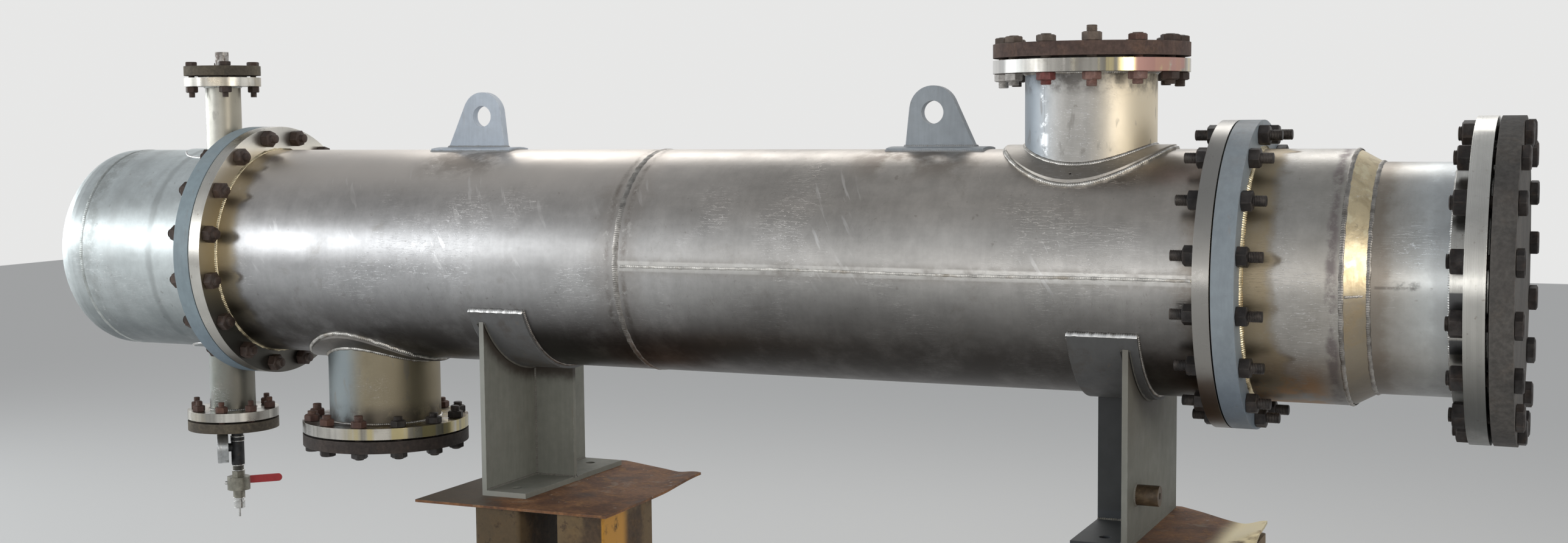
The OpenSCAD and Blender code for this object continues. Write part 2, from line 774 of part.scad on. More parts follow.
// The curved pad under one lug
module lug_pad() {
  translate([-lug_pad_off, 0, 0]) difference() {
    intersection() {
      xcyl(-lug_pad_len / 2, lug_pad_len / 2, shell_r + lug_pad_t);
      translate([-lug_pad_len / 2, -lug_pad_w / 2, 0])
        cube([lug_pad_len, lug_pad_w, shell_r + 2 * lug_pad_t]);
    }
    xcyl(-lug_pad_len, lug_pad_len, shell_r);
  }
}

module lug_pads() {
  color("gainsboro") at_lugs() lug_pad();
}

// The wear pad of a saddle whose outer face is at X = 0 and whose inside is towards +X
module wear_pad() {
  difference() {
    xpipe(-wear_over, wear_len - wear_over, shell_r + wear_t, shell_r);
    // Everything above the pad's upper edges is cut away
    for (s = [0, 1]) mirror([0, s, 0])
      rotate([-wear_edge_deg, 0, 0]) translate([-wear_len, 0, 0])
        cube([3 * wear_len, shell_od, shell_od]);
    translate([-wear_len, -shell_od, 0]) cube([3 * wear_len, 2 * shell_od, shell_od]);
  }
}

module saddle_web() {
  difference() {
    translate([0, -saddle_half, saddle_top_z]) cube([saddle_t, 2 * saddle_half, -saddle_top_z - web_top]);
    xcyl(-cut, saddle_t + cut, shell_r + wear_t);
  }
}
// The web's top corners lie on the wear pad, below its upper edges
saddle_half = (shell_r + wear_t) * cos(wear_edge_deg + pad_past_web);
web_top = (shell_r + wear_t) * sin(wear_edge_deg + pad_past_web);

module saddle_rib() {
  difference() {
    translate([saddle_t, -saddle_t / 2, saddle_top_z])
      cube([saddle_depth - saddle_t, saddle_t, -saddle_top_z - shell_r + cut]);
    xcyl(-cut, saddle_depth + cut, shell_r + wear_t);
  }
}

module saddle_base() {
  difference() {
    translate([0, -saddle_half, -saddle_drop]) cube([saddle_depth, 2 * saddle_half, saddle_t]);
    for (s = [-1, 1]) translate([base_hole_in, s * base_hole_span / 2, -saddle_drop - cut])
      cylinder(r = base_hole_d / 2, h = saddle_t + 2 * cut, $fn = 32);
  }
}

module left_saddle() {
  place() translate([left_saddle_x, 0, 0]) children();
}

module right_saddle() {
  place() translate([right_saddle_x, 0, 0]) rotate([0, 0, 180]) children();
}

module wear_pads() {
  color("darkseagreen") {
    left_saddle() wear_pad();
    right_saddle() wear_pad();
  }
}

module saddle_webs() {
  color("darkseagreen") {
    left_saddle() saddle_web();
    right_saddle() saddle_web();
  }
}

module saddle_ribs() {
  color("darkseagreen") {
    left_saddle() saddle_rib();
    right_saddle() saddle_rib();
  }
}

module saddle_bases() {
  color("darkseagreen") {
    left_saddle() saddle_base();
    right_saddle() saddle_base();
  }
}

module earth_boss() {
  color("peru") right_saddle() translate([-boss_len, boss_side, -boss_drop]) rotate([0, 90, 0]) difference() {
    cylinder(r = boss_d / 2, h = boss_len, $fn = 40);
    translate([0, 0, -cut]) cylinder(r = boss_bore / 2, h = boss_len + cut - boss_floor, $fn = 32);
  }
}
boss_side = saddle_half - boss_in;
boss_drop = 438.5;
boss_bore = 14;
boss_floor = 6;

// Moves a piece to the left end of the left stool's top
module at_left_stool() {
  place() translate([left_saddle_x - left_stool_in, 0, 0]) children();
}

// Moves a piece to the left end of the right stool's top
module at_right_stool() {
  place() translate([right_saddle_x - right_stool_in, 0, 0]) children();
}

// A stool top with one cut corner
module stool_top(back, back_len, corner) {
  translate([0, 0, -saddle_drop - stool_top_t]) linear_extrude(stool_top_t)
    polygon([[0, -stool_front], [stool_len, -stool_front], [stool_len - stool_skew, corner],
      [back_len, back], [0, back]]);
}
stool_skew = 10;      // the right end of each stool top is not quite square

// One post: a hollow square section on a foot plate, its low corner at x and y
module post(x, y, d) {
  translate([x, y, -axis_z]) {
    cube([post_w, d, foot_t]);
    translate([0, 0, foot_t]) difference() {
      cube([post_w, d, post_h]);
      translate([post_wall, post_wall, -cut])
        cube([post_w - 2 * post_wall, d - 2 * post_wall, post_h + 2 * cut]);
    }
  }
}

// The four posts under one stool top
module four_posts(back, corner) {
  right_x = stool_len - post_right - post_w;
  post(post_left, -stool_front + post_edge, post_d);
  post(right_x, -stool_front + post_edge, post_d);
  post(post_left, back - corner_room - short_post_d, short_post_d);
  post(right_x, corner - post_edge - short_post_d, short_post_d);
}
corner_room = 27;     // keeps the left back post inside the cut corner

module stool_tops() {
  color("saddlebrown") {
    at_left_stool() stool_top(left_back, left_back_len, left_corner);
    at_right_stool() stool_top(right_back, right_back_len, right_corner);
  }
}

module stool_posts() {
  color("peru") {
    at_left_stool() four_posts(left_back, left_corner);
    at_right_stool() four_posts(right_back, right_corner);
  }
}

bonnet_head();
bonnet_barrel();
bonnet_flange();
body_gaskets();
left_tubesheet();
shell_left();
shell_right();
right_tubesheet();
channel_flange();
channel_barrel();
channel_cone();
channel_neck();
end_flange();
end_gasket();
end_blind();
end_studs();
vent_pipe();
vent_flange();
vent_blind();
vent_stub();
drain_pipe();
drain_flange();
drain_blind();
test_tee();
pressure_gauge();
test_valve();
valve_lever();
hose_fitting();
high_pipe();
high_flange();
high_blind();
low_pipe();
low_flange();
low_blind();
nozzle_pads();
nozzle_gaskets();
lifting_lugs();
lug_pads();
wear_pads();
saddle_webs();
saddle_ribs();
saddle_bases();
earth_boss();
stool_tops();
stool_posts();
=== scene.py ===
import math
import random
import bpy
import numpy as np
from mathutils import Matrix, Vector


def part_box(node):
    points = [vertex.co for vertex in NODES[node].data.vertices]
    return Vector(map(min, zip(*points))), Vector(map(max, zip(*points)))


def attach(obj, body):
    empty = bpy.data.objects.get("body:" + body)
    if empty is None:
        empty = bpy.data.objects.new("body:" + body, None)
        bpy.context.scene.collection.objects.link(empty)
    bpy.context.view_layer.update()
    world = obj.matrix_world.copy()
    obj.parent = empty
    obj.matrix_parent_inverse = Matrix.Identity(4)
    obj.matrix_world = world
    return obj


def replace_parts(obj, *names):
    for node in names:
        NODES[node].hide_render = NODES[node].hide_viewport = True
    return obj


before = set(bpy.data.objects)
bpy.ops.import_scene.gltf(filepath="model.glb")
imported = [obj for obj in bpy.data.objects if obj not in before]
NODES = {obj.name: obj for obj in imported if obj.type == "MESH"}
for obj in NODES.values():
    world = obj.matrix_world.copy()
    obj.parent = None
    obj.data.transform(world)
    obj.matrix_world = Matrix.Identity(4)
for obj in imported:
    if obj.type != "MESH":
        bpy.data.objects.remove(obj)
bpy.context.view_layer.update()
rng = random.Random(7)

# Sizes of the CAD model in metres. X runs along the shell from the left body gasket, Z from the shell axis.
AXIS_Z = 1.2
SHIFT_X = -1.22155
R = 0.254
NECK_R = 0.2286
PIPE_X = -0.144
VENT_R, DRAIN_R = 0.04445, 0.05715
LOW_X, HIGH_X = 0.337, 2.134
REACH = 0.44
BIG_R = 0.1365
PAD_R = 0.176
PAD_T = 0.0095
BIG_FLANGE_T, SMALL_FLANGE_T = 0.0286, 0.024
BIG_BLIND_T, SMALL_BLIND_T, GASKET_T = 0.0302, 0.026, 0.002
LEFT_FACE, LEFT_BACK = -0.0455, 0.0335
RIGHT_FACE, RIGHT_BACK = 2.4105, 2.4895
GIRTH_X, CONE_X, CONE_END_X = 1.138, 2.675, 2.721
LEFT_SADDLE, RIGHT_SADDLE = 0.765, 2.27
STAND_Z, FOOT_Z = -0.538, -0.526


def P(x, y, z):
    return (x + SHIFT_X, y, z + AXIS_Z)


# ---------------------------------------------------------------- materials
class Val:
    """A node's output; each operator on it adds one Math node."""

    def __init__(self, mat, socket):
        self.mat, self.socket = mat, socket

    def __rsub__(self, other):
        return self.mat.math("SUBTRACT", other, self)

    def __abs__(self):
        return self.mat.math("ABSOLUTE", self)


for word, op in (("add", "ADD"), ("sub", "SUBTRACT"), ("mul", "MULTIPLY"), ("truediv", "DIVIDE"), ("pow", "POWER")):
    setattr(Val, f"__{word}__", lambda a, b, op=op: a.mat.math(op, a, b))


class Mat:
    """A node material whose colour and roughness are built up in layers."""

    def __init__(self, name, color, metallic=1, rough=0.4):
        self.mat = bpy.data.materials.new(name + "_look")
        self.mat.use_nodes = True
        self.tree = self.mat.node_tree
        self.bsdf = self.tree.nodes["Principled BSDF"]
        self.color, self.rough, self.metal, self.height = color, rough, metallic, None
        self.show()
        self.place = self.node("ShaderNodeTexCoord").outputs["Object"]
        self.x, self.y, self.z = (Val(self, s) for s in self.node("ShaderNodeSeparateXYZ", Vector=self.place).outputs)

    def node(self, kind, **inputs):
        n = self.tree.nodes.new(kind)
        for key, value in inputs.items():
            self.put(n.inputs[key.replace("_", " ")], value)
        return n

    def put(self, socket, value):
        value = value.socket if isinstance(value, Val) else value
        if isinstance(value, bpy.types.NodeSocket):
            self.tree.links.new(value, socket)
        elif isinstance(value, (tuple, list)) and len(value) == 3 and socket.type == "RGBA":
            socket.default_value = (*value, 1)
        else:
            socket.default_value = value

    def math(self, op, a, b=0):
        n = self.node("ShaderNodeMath")
        n.operation = op
        self.put(n.inputs[0], a)
        self.put(n.inputs[1], b)
        return Val(self, n.outputs[0])

    def step(self, value, lo, hi, out_lo=0, out_hi=1):
        """Smooth step of value from lo to hi."""
        n = self.node("ShaderNodeMapRange")
        n.interpolation_type = "SMOOTHSTEP"
        for key, v in (("Value", value), ("From Min", lo), ("From Max", hi), ("To Min", out_lo), ("To Max", out_hi)):
            self.put(n.inputs[key], v)
        return Val(self, n.outputs["Result"])

    def texture(self, vector, scale, detail, rough=0.5, distort=0):
        n = self.node("ShaderNodeTexNoise", Vector=vector, Scale=scale, Detail=detail, Roughness=rough,
            Distortion=distort)
        return Val(self, n.outputs["Fac"])

    def noise(self, scale, detail, rough, stretch=None, shift=0, distort=0):
        vec = self.place
        if stretch or shift:
            m = self.node("ShaderNodeMapping", Vector=vec)
            m.inputs["Scale"].default_value = stretch or (1, 1, 1)
            m.inputs["Location"].default_value = (shift, shift * 0.7, shift * 1.3)
            vec = m.outputs[0]
        return self.texture(vec, scale, detail, rough, distort)

    def cloud(self, scale, detail, rough, lo=0.3, hi=0.7, out_lo=0, out_hi=1, **more):
        """Noise, stepped from lo to hi."""
        return self.step(self.noise(scale, detail, rough, **more), lo, hi, out_lo, out_hi)

    def near(self, value, lo, hi):
        """1 where the value is within lo of nought, falling to 0 at hi."""
        return self.step(abs(value), lo, hi, 1, 0)

    def above(self, *ends):
        """Smooth step of the height above the shell axis."""
        return self.step(self.up, *ends)

    def past(self, *ends):
        """Smooth step of the distance along the shell."""
        return self.step(self.along, *ends)

    @property
    def up(self):
        """Height above the shell axis."""
        return self.z - AXIS_Z

    @property
    def along(self):
        """Distance along the shell from the left body gasket."""
        return self.x - SHIFT_X

    @property
    def out(self):
        """Distance from the shell axis."""
        up = self.up
        return self.math("SQRT", self.y * self.y + up * up)

    def facing(self, axis):
        """The outward normal's part along x, y or z."""
        geo = self.node("ShaderNodeNewGeometry")
        return Val(self, self.node("ShaderNodeSeparateXYZ", Vector=geo.outputs["Normal"]).outputs["xyz".index(axis)])

    def vector(self, *parts):
        return self.node("ShaderNodeCombineXYZ", **dict(zip("XYZ", parts))).outputs[0]

    def streaks(self, scale_x, scale_a, detail):
        """Noise in the unrolled surface of the shell: long in the direction with the smaller scale."""
        return self.texture(self.vector(self.x * scale_x, self.y * scale_a, self.up * scale_a), 1, detail, 0.6)

    def band(self, x, half, soft, wobble=None):
        """1 within half of the place x along the shell, falling to 0 over soft."""
        d = abs(self.x - (x + SHIFT_X))
        return self.step(d if wobble is None else d + wobble, half, half + soft, 1, 0)

    def mix(self, fac, a, b, kind="FLOAT", blend="MIX"):
        n = self.node("ShaderNodeMix")
        n.data_type, n.blend_type = kind, blend
        first = 6 if kind == "RGBA" else 2
        for i, value in ((0, fac), (first, a), (first + 1, b)):
            self.put(n.inputs[i], value)
        return n.outputs[2 if kind == "RGBA" else 0]

    def tint(self, fac, color, rough=None):
        self.color = self.mix(fac, self.color, color, "RGBA")
        if rough is not None:
            self.set_rough(fac, rough)

    def set_rough(self, fac, rough):
        self.rough = self.mix(fac, self.rough, rough)

    def set_metal(self, fac, metal):
        self.metal = self.mix(fac, self.metal, metal)

    def vary(self, fac, low, high):
        """Multiplies the colour by a grey, or a colour, that runs from low to high."""
        low, high = (v if isinstance(v, tuple) else (v,) * 3 for v in (low, high))
        self.color = self.mix(1, self.color, self.mix(fac, low, high, "RGBA"), "RGBA", "MULTIPLY")

    def heat(self, face, gold, burnt, reach, tongue, strength):
        """Heat tint and a painted reflection beside a welded flange: a gold band with a dark edge and a pointed
        tongue at each bolt, where the flange face and its nuts are mirrored in the steel.
        """
        bolts = self.math("FRACT", self.math("ARCTAN2", self.up, self.y) / (2 * math.pi) * 16)
        patchy = self.cloud(4.5, 2, 0.5, 0.35, 0.62, 0.15, 1, shift=face + 8)
        spike = self.near(bolts - 0.5, 0, 0.24) ** 1.4 * patchy
        wave = (self.noise(16, 5, 0.65, shift=face) - 0.5) * 0.045
        sag = self.step(self.up, -0.04, -0.22, 0, 0.035)
        past = self.x - (face + SHIFT_X) - (spike * tongue + wave + (sag + reach))
        inside = self.step(past, -0.022, 0.004, 1, 0)
        self.tint(inside * self.cloud(11, 5, 0.7, 0.15, 0.55, 0.72, 1, shift=face + 3) * strength, gold, 0.46)
        rim = self.near(past + 0.006, 0, 0.016)
        self.tint(rim * self.step(spike, 0, 0.7, 0.25, 0.85) * strength, burnt, 0.52)

    def bump(self, height, mm):
        part = self.math("MULTIPLY", height, mm / 1000)
        self.height = part if self.height is None else self.height + part

    def rounded(self, radius):
        bevel = self.node("ShaderNodeBevel", Radius=radius)
        bevel.samples = 4
        return bevel.outputs[0]

    def edge(self, radius):
        """1 along sharp edges, from the difference that rounding them makes to the normal."""
        dot = self.node("ShaderNodeVectorMath")
        dot.operation = "DOT_PRODUCT"
        self.put(dot.inputs[0], self.rounded(radius))
        self.put(dot.inputs[1], self.node("ShaderNodeNewGeometry").outputs["True Normal"])
        return self.step(1 - Val(self, dot.outputs["Value"]), 0.02, 0.35)

    def show(self):
        for key, value in (("Base Color", self.color), ("Roughness", self.rough), ("Metallic", self.metal)):
            self.put(self.bsdf.inputs[key], value)

    def done(self, round_edges=0):
        self.show()
        normal = self.rounded(round_edges) if round_edges else None
        if self.height is not None:
            b = self.node("ShaderNodeBump", Height=self.height)
            b.inputs["Distance"].default_value = 1
            if normal is not None:
                self.put(b.inputs["Normal"], normal)
            normal = b.outputs[0]
        if normal is not None:
            self.put(self.bsdf.inputs["Normal"], normal)
        return self.mat


def plate_steel(name, color, rough, cloud=(0.86, 1.08), warm=0, seams=()):
    """Rolled and pickled stainless plate: soft clouds, rolling lines, scratches and handling marks."""
    m = Mat(name, color, 1, rough)
    m.vary(m.cloud(3.2, 5, 0.6), cloud[0], cloud[1])
    m.vary(m.cloud(19, 6, 0.65, 0.32, 0.68, shift=3.1), 0.94, 1.05)
    m.vary(m.step(m.streaks(5, 42, 3), 0.35, 0.65), 0.98, 1.015)
    m.vary(m.step(m.streaks(60, 3.2, 5), 0.34, 0.66), 0.972, 1.02)
    m.vary(m.cloud(34, 7, 0.75, 0.34, 0.66, shift=13), 0.95, 1.04)
    stains = m.noise(7.5, 7, 0.7, shift=9, distort=0.6)
    m.tint(m.step(stains, 0.58, 0.72, 0, 0.35), (0.27, 0.245, 0.215), 0.5)
    spots = m.noise(60, 3, 0.5, shift=5)
    m.tint(m.step(spots, 0.69, 0.76, 0, 0.35), (0.17, 0.145, 0.13), 0.6)
    scratch = m.noise(26, 2, 0.4, stretch=(1, 6, 9), shift=1.7)
    where = m.cloud(5, 2, 0.5, 0.48, 0.6, shift=12)
    cut_mark = m.near(scratch - 0.5, 0, 0.011) * where
    m.tint(cut_mark * 0.7, (0.9, 0.9, 0.91), 0.22)
    slant = m.noise(17, 2, 0.3, stretch=(5, 5, 1.6), shift=14.5, distort=0.3)
    thin = m.near(slant - 0.5, 0, 0.007) * m.cloud(4, 2, 0.5, 0.5, 0.6, shift=15.5)
    m.tint(thin * 0.45, (0.28, 0.26, 0.24), 0.35)
    if warm:
        m.tint(m.cloud(1.8, 3, 0.5, 0.35, 0.7, 0, warm, shift=20), (0.46, 0.39, 0.29))
    m.set_rough(m.cloud(11, 5, 0.6, shift=7), rough + 0.08)
    for x, half, soft, color2, strength in seams:
        wob = (m.noise(30, 4, 0.6, shift=x) - 0.5) * (soft * 1.5)
        m.tint(m.band(x, half, soft, wob) * strength, color2, 0.42)
    m.bump(m.noise(420, 3, 0.6), 0.03)
    m.bump(m.noise(60, 4, 0.5, shift=2), 0.12)
    m.bump(m.noise(5, 2, 0.5, shift=4), 1.3)
    m.bump(cut_mark, -0.08)
    return m


def underside(m, strength, color=(0.07, 0.063, 0.058), top=-0.05, bottom=-0.23):
    """Painted shade: darkens the lower side of the vessel, in cloudy patches."""
    cloud = m.cloud(9, 6, 0.65, 0.25, 0.6, 0.75, 1, shift=31)
    m.tint(m.above(top, bottom) * cloud * strength, color, 0.42)


# The band at -0.176 is a painted reflection line across the barrel
m = plate_steel("bonnet_steel", (0.61, 0.655, 0.66), 0.37, seams=((-0.176, 0.003, 0.012, (0.33, 0.35, 0.35), 0.45),
    (-0.06, 0.01, 0.03, (0.36, 0.36, 0.34), 0.35), (-0.3, 0.002, 0.03, (0.4, 0.42, 0.42), 0.3)))
smear = m.band(-0.378, 0.012, 0.03) * m.cloud(28, 6, 0.75, 0.38, 0.58, shift=16)
m.tint(smear * m.above(-0.2, 0.12, 0.15, 0.42), (0.22, 0.225, 0.21), 0.5)
flake = m.band(-0.375, 0.004, 0.01) * m.cloud(70, 3, 0.6, 0.6, 0.66, shift=17) * m.above(-0.06, -0.1)
m.tint(flake * 0.85, (0.92, 0.94, 0.94), 0.3)
head = m.past(-0.5, -0.42, 1, 0)
m.vary(head * m.cloud(24, 6, 0.75, 0.4, 0.62, shift=6), 1, 0.8)
# Painted light: the dished head is made about half again brighter
m.vary(head, 1, 1.52)
# Painted light: the top of the bonnet is made brighter
m.vary(m.above(0.12, 0.2), 1, 1.28)
m.set_rough(head, 0.42)
underside(m, 0.84, (0.092, 0.113, 0.122))
BONNET = m.done(0.0015)

m = plate_steel("shell_steel", (0.52, 0.52, 0.52), 0.3, seams=((GIRTH_X, 0.03, 0.05, (0.32, 0.3, 0.285), 0.45),
    (RIGHT_FACE, 0.008, 0.05, (0.27, 0.23, 0.19), 0.6)))
# Painted reflection: the shell's tint runs from cool on the left to warm on the right
m.vary(m.past(0.5, 1.9), (1.04, 1.04, 1.05), (1.05, 1.02, 0.98))
# Painted light: the top of the shell's left part is made paler
m.tint(m.above(0.13, 0.21) * m.past(1.5, 0.9) * 0.85, (0.8, 0.77, 0.74))
uneven = (m.noise(11, 4, 0.6, shift=19) - 0.5) * 0.018
side_band = abs(abs(m.along - GIRTH_X + uneven) - 0.02)
broken = m.cloud(21, 7, 0.8, 0.34, 0.66, shift=18)
m.tint(m.step(side_band, 0.001, 0.011, 1, 0) * broken * 0.62, (0.17, 0.145, 0.125), 0.5)
# Painted highlights: pale flecks along the girth seam
chalky = m.band(GIRTH_X, 0.02, 0.03) * m.cloud(44, 6, 0.8, 0.54, 0.64, shift=24)
m.tint(chalky * 0.55, (0.72, 0.71, 0.69), 0.35)
for x, wide in ((0.66, 0.1), (1.78, 0.13)):
    near = m.band(x, wide * 0.5, wide) * m.above(0.175, 0.235) * m.cloud(13, 5, 0.65, 0.36, 0.58, shift=x)
    m.tint(near * 0.7, (0.21, 0.175, 0.145), 0.45)
seam_z = m.z - (AXIS_Z + 0.0045)
front = m.step(m.y, -0.2, -0.24) * m.past(GIRTH_X, 1.15)
m.tint(m.near(seam_z, 0.004, 0.026) * front * m.cloud(40, 4, 0.6, 0.3, 0.6, shift=8) * 0.6, (0.29, 0.265, 0.24),
    0.42)
ground = m.near(seam_z, 0.009, 0.013) * front * m.cloud(7, 5, 0.65, 0.34, 0.5, shift=15)
m.tint(ground * 0.55, (0.8, 0.79, 0.76), 0.24)
lean = m.along * 62 + m.up * 40
rise = m.up * 9 - m.along * 5
grain = m.texture(m.vector(lean, rise, m.y), 1, 3)
scrape = m.step(grain, 0.6, 0.67) * m.cloud(4.2, 3, 0.5, 0.5, 0.6, shift=25) * m.above(-0.05, 0)
m.tint(scrape * m.step(m.y, -0.12, -0.18) * 0.55, (0.86, 0.86, 0.86), 0.28)
# Heat tint with a painted reflection of the left flange and its nuts
m.heat(LEFT_BACK, (0.44, 0.375, 0.265), (0.16, 0.14, 0.12), 0.06, 0.02, 0.92)
# Painted shade: the lower part of the shell right of the girth seam is made darker
m.vary(m.past(1.2, 1.5) * m.above(0.03, -0.09), 1, 0.6)
m.vary(m.above(0.06, 0.15), (1, 1, 1), (1, 0.955, 0.91))
underside(m, 0.92, (0.045, 0.04, 0.037), -0.02, -0.18)
SHELL = m.done(0.0015)

m = plate_steel("channel_steel", (0.5, 0.485, 0.46), 0.31, warm=0.3,
    seams=((2.725, 0.012, 0.03, (0.27, 0.22, 0.17), 0.6), (2.86, 0.012, 0.03, (0.27, 0.25, 0.23), 0.45)))
wobble = (m.noise(14, 5, 0.6, shift=41) - 0.5) * 0.03
smear = m.band(2.657, 0.003, 0.012, wobble) * m.cloud(24, 5, 0.7, 0.34, 0.55, shift=42)
m.tint(smear * 0.75, (0.2, 0.165, 0.17), 0.5)
# Painted light: the neck is made brighter and bluer
m.vary(m.past(2.74, 2.86), (1, 1, 1), (1.52, 1.68, 1.84))
# Heat tint with a painted reflection of the channel flange and its nuts
m.heat(RIGHT_BACK, (0.38, 0.305, 0.195), (0.17, 0.135, 0.095), 0.062, 0.024, 0.9)
orange = m.band(2.56, 0.05, 0.05) * m.above(-0.15, -0.2) * m.step(m.y, 0, -0.04)
orange *= m.cloud(12, 5, 0.65, 0.36, 0.56, shift=44)
underside(m, 0.75, top=-0.09)
m.tint(orange * 0.8, (0.3, 0.17, 0.075), 0.5)
seam_line = m.near(m.up, 0.0012, 0.004) * m.past(2.73, 2.735) * m.step(m.y, -0.1, -0.15)
m.tint(seam_line * m.cloud(20, 4, 0.6, 0.46, 0.56, shift=47) * 0.45, (0.085, 0.072, 0.062), 0.5)
rub = m.near(m.up - 0.004, 0.004, 0.012) * m.band(2.79, 0.018, 0.012) * m.step(m.y, -0.1, -0.15)
m.tint(rub * m.cloud(70, 5, 0.7, 0.42, 0.6, shift=48) * 0.5, (0.17, 0.17, 0.165), 0.5)
CHANNEL = m.done(0.0015)

m = plate_steel("cone_steel", (0.84, 0.71, 0.47), 0.33, cloud=(0.84, 1.1))
lower = m.above(0.01, -0.03)
m.tint(lower * 0.85, (0.28, 0.245, 0.2), 0.4)
m.tint(m.cloud(12, 5, 0.7, 0.48, 0.68, 0, 0.5, shift=3, distort=1), (0.42, 0.32, 0.19), 0.4)
# Painted highlights: bright gold patches on the upper cone
bright = m.cloud(30, 3, 0.6, 0.54, 0.66, shift=51) * m.above(0, 0.04)
m.tint(bright * 0.75, (0.96, 0.86, 0.6), 0.3)
m.bump(m.noise(25, 3, 0.6, shift=1), 0.9)
underside(m, 0.7, top=-0.1)
CONE = m.done(0.002)


def pipe_steel(name, xc, rn, left, middle, right, rough=0.46, soot=0.6, top=0, turn=(-0.1, -0.75)):
    """A nozzle pipe of matt steel with a painted reflection: its tint changes from its left side to its right side.
    """
    m = plate_steel(name, middle, rough, cloud=(0.88, 1.08))
    across = (m.along - xc) / rn
    m.tint(m.step(across, turn[0], turn[1], 0, 0.9), left)
    m.tint(m.step(across, 0.15, 0.8, 0, 0.9), right)
    marks = m.noise(45, 3, 0.5, stretch=(1, 1, 0.35), shift=4.4)
    m.tint(m.step(marks, 0.6, 0.68, 0, 0.45), (0.25, 0.235, 0.215), 0.55)
    if top:
        # Painted shade: a dark band on the pipe next to its flange
        near = m.step(abs(m.up), top - 0.055, top - 0.02)
        m.tint(near * m.cloud(16, 5, 0.7, 0.4, 0.56, shift=61) * soot, (0.12, 0.105, 0.095), 0.55)
    return m


VENT = pipe_steel("vent_steel", PIPE_X, 0.0445, (0.64, 0.64, 0.61), (0.5, 0.49, 0.44), (0.42, 0.39, 0.32),
    0.4).done(0.0015)
DRAIN = pipe_steel("drain_steel", PIPE_X, 0.057, (0.46, 0.48, 0.47), (0.27, 0.28, 0.25), (0.2, 0.19, 0.16),
    0.4).done(0.0015)
PIPE_TOP = REACH - 0.029
m = pipe_steel("high_pipe", HIGH_X, BIG_R, (0.35, 0.395, 0.445), (0.49, 0.475, 0.45), (0.88, 0.78, 0.6), top=PIPE_TOP)
seam_x = m.along - (HIGH_X - 0.066)
near_side = m.step(m.y, -0.06, -0.09)
whitish = m.near(seam_x, 0.002, 0.013) * near_side * m.cloud(30, 6, 0.75, 0.5, 0.6, shift=63)
m.tint(whitish * 0.9, (0.86, 0.88, 0.9), 0.35)
m.tint(m.near(seam_x, 0, 0.0012) * near_side * 0.55, (0.22, 0.22, 0.22), 0.5)
HIGH = m.done(0.0015)
LOW = pipe_steel("low_pipe", LOW_X, BIG_R, (0.25, 0.29, 0.31), (0.31, 0.27, 0.19), (0.33, 0.285, 0.2),
    top=PIPE_TOP, turn=(0.3, -0.15)).done(0.0015)
m = plate_steel("nozzle_pad", (0.52, 0.49, 0.45), 0.42, cloud=(0.85, 1.1))
underside(m, 0.8, (0.085, 0.08, 0.077), 0, -0.05)
PAD = m.done(0.0015)


def turned_steel(name, color, axis, rough=0.22, tint=None, stain=0.35, glints=None):
    """Machined steel with fine turning lines; axis is x or z, the line the tool ran round."""
    m = Mat(name, color, 1, rough)
    along = m.x + m.out if axis == "x" else m.z
    groove = m.texture(m.vector(along), 900, 2)
    m.vary(m.step(groove, 0.35, 0.65), 0.92, 1.05)
    m.vary(m.cloud(6, 4, 0.6), 0.84, 1.08)
    # Where glints is given, light and dark stripes across the rim are painted reflections
    if glints:
        stripe = m.noise(17, 3, 0.6, stretch=(1, 1, 0), shift=glints)
        m.vary(m.step(stripe, 0.36, 0.64), 0.5, 1.45)
    if tint:
        m.tint(m.cloud(5, 4, 0.6, 0.42, 0.62, 0, 0.75, shift=11, distort=0.8), tint)
    m.tint(m.cloud(22, 6, 0.7, 0.58, 0.72, 0, stain, shift=2), (0.22, 0.17, 0.12), 0.5)
    m.tint(m.cloud(90, 4, 0.6, 0.66, 0.74, 0, 0.5, shift=7), (0.16, 0.12, 0.09), 0.6)
    m.set_rough(m.cloud(14, 4, 0.6, shift=9), rough + 0.1)
    m.bump(groove, 0.04)
    m.bump(m.noise(160, 3, 0.6), 0.04)
    return m


m = turned_steel("tubesheet", (0.68, 0.66, 0.61), "x", 0.24)
face = m.step(abs(m.facing("x")), 0.4, 0.6)
m.tint(face * m.above(0.2, 0.12, 0, 0.92) * m.cloud(9, 5, 0.6, 0.2, 0.6, 0.75, 1, shift=71),
    (0.6, 0.515, 0.345), 0.36)
# Painted light: a pale band across the upper face
m.tint(face * m.above(0.13, 0.17) * m.above(0.295, 0.24) * 0.95, (1, 0.95, 0.83), 0.3)
# Painted shade: the lower face is made darker
m.tint(face * m.above(0, -0.15, 0, 0.85), (0.2, 0.205, 0.2), 0.45)
rim = 1 - face
# Painted shade: the right tubesheet's rim is made darker
m.tint(rim * m.past(2.2, 2.3) * 0.8, (0.33, 0.32, 0.305))
underside(m, 0.7, (0.09, 0.083, 0.075), -0.14, -0.26)
MACHINED = m.done(0.001)
m = turned_steel("end_flange", (0.6, 0.59, 0.555), "x", 0.2)
m.vary(m.step(m.streaks(90, 1.5, 3), 0.36, 0.64), 0.94, 1.05)
# Painted light: the top of the flange is made brighter
m.vary(m.above(0.1, 0.24), 1, 1.4)
# Painted reflections: dark patches on the hub
hub = m.step(m.out, 0.262, 0.258) * m.step(m.out, 0.22, 0.235)
patches = m.texture(m.vector(0, 0, m.up), 15, 2)
m.tint(hub * m.step(patches, 0.52, 0.56) * 0.85, (0.045, 0.047, 0.055), 0.3)
underside(m, 0.85, (0.075, 0.082, 0.082), -0.05, -0.24)
END_FLANGE = m.done(0.0012)
m = turned_steel("small_flange", (0.62, 0.6, 0.55), "z", 0.24, tint=(0.46, 0.4, 0.3), stain=0.45, glints=1.3)
SMALL_FLANGE = m.done(0.001)


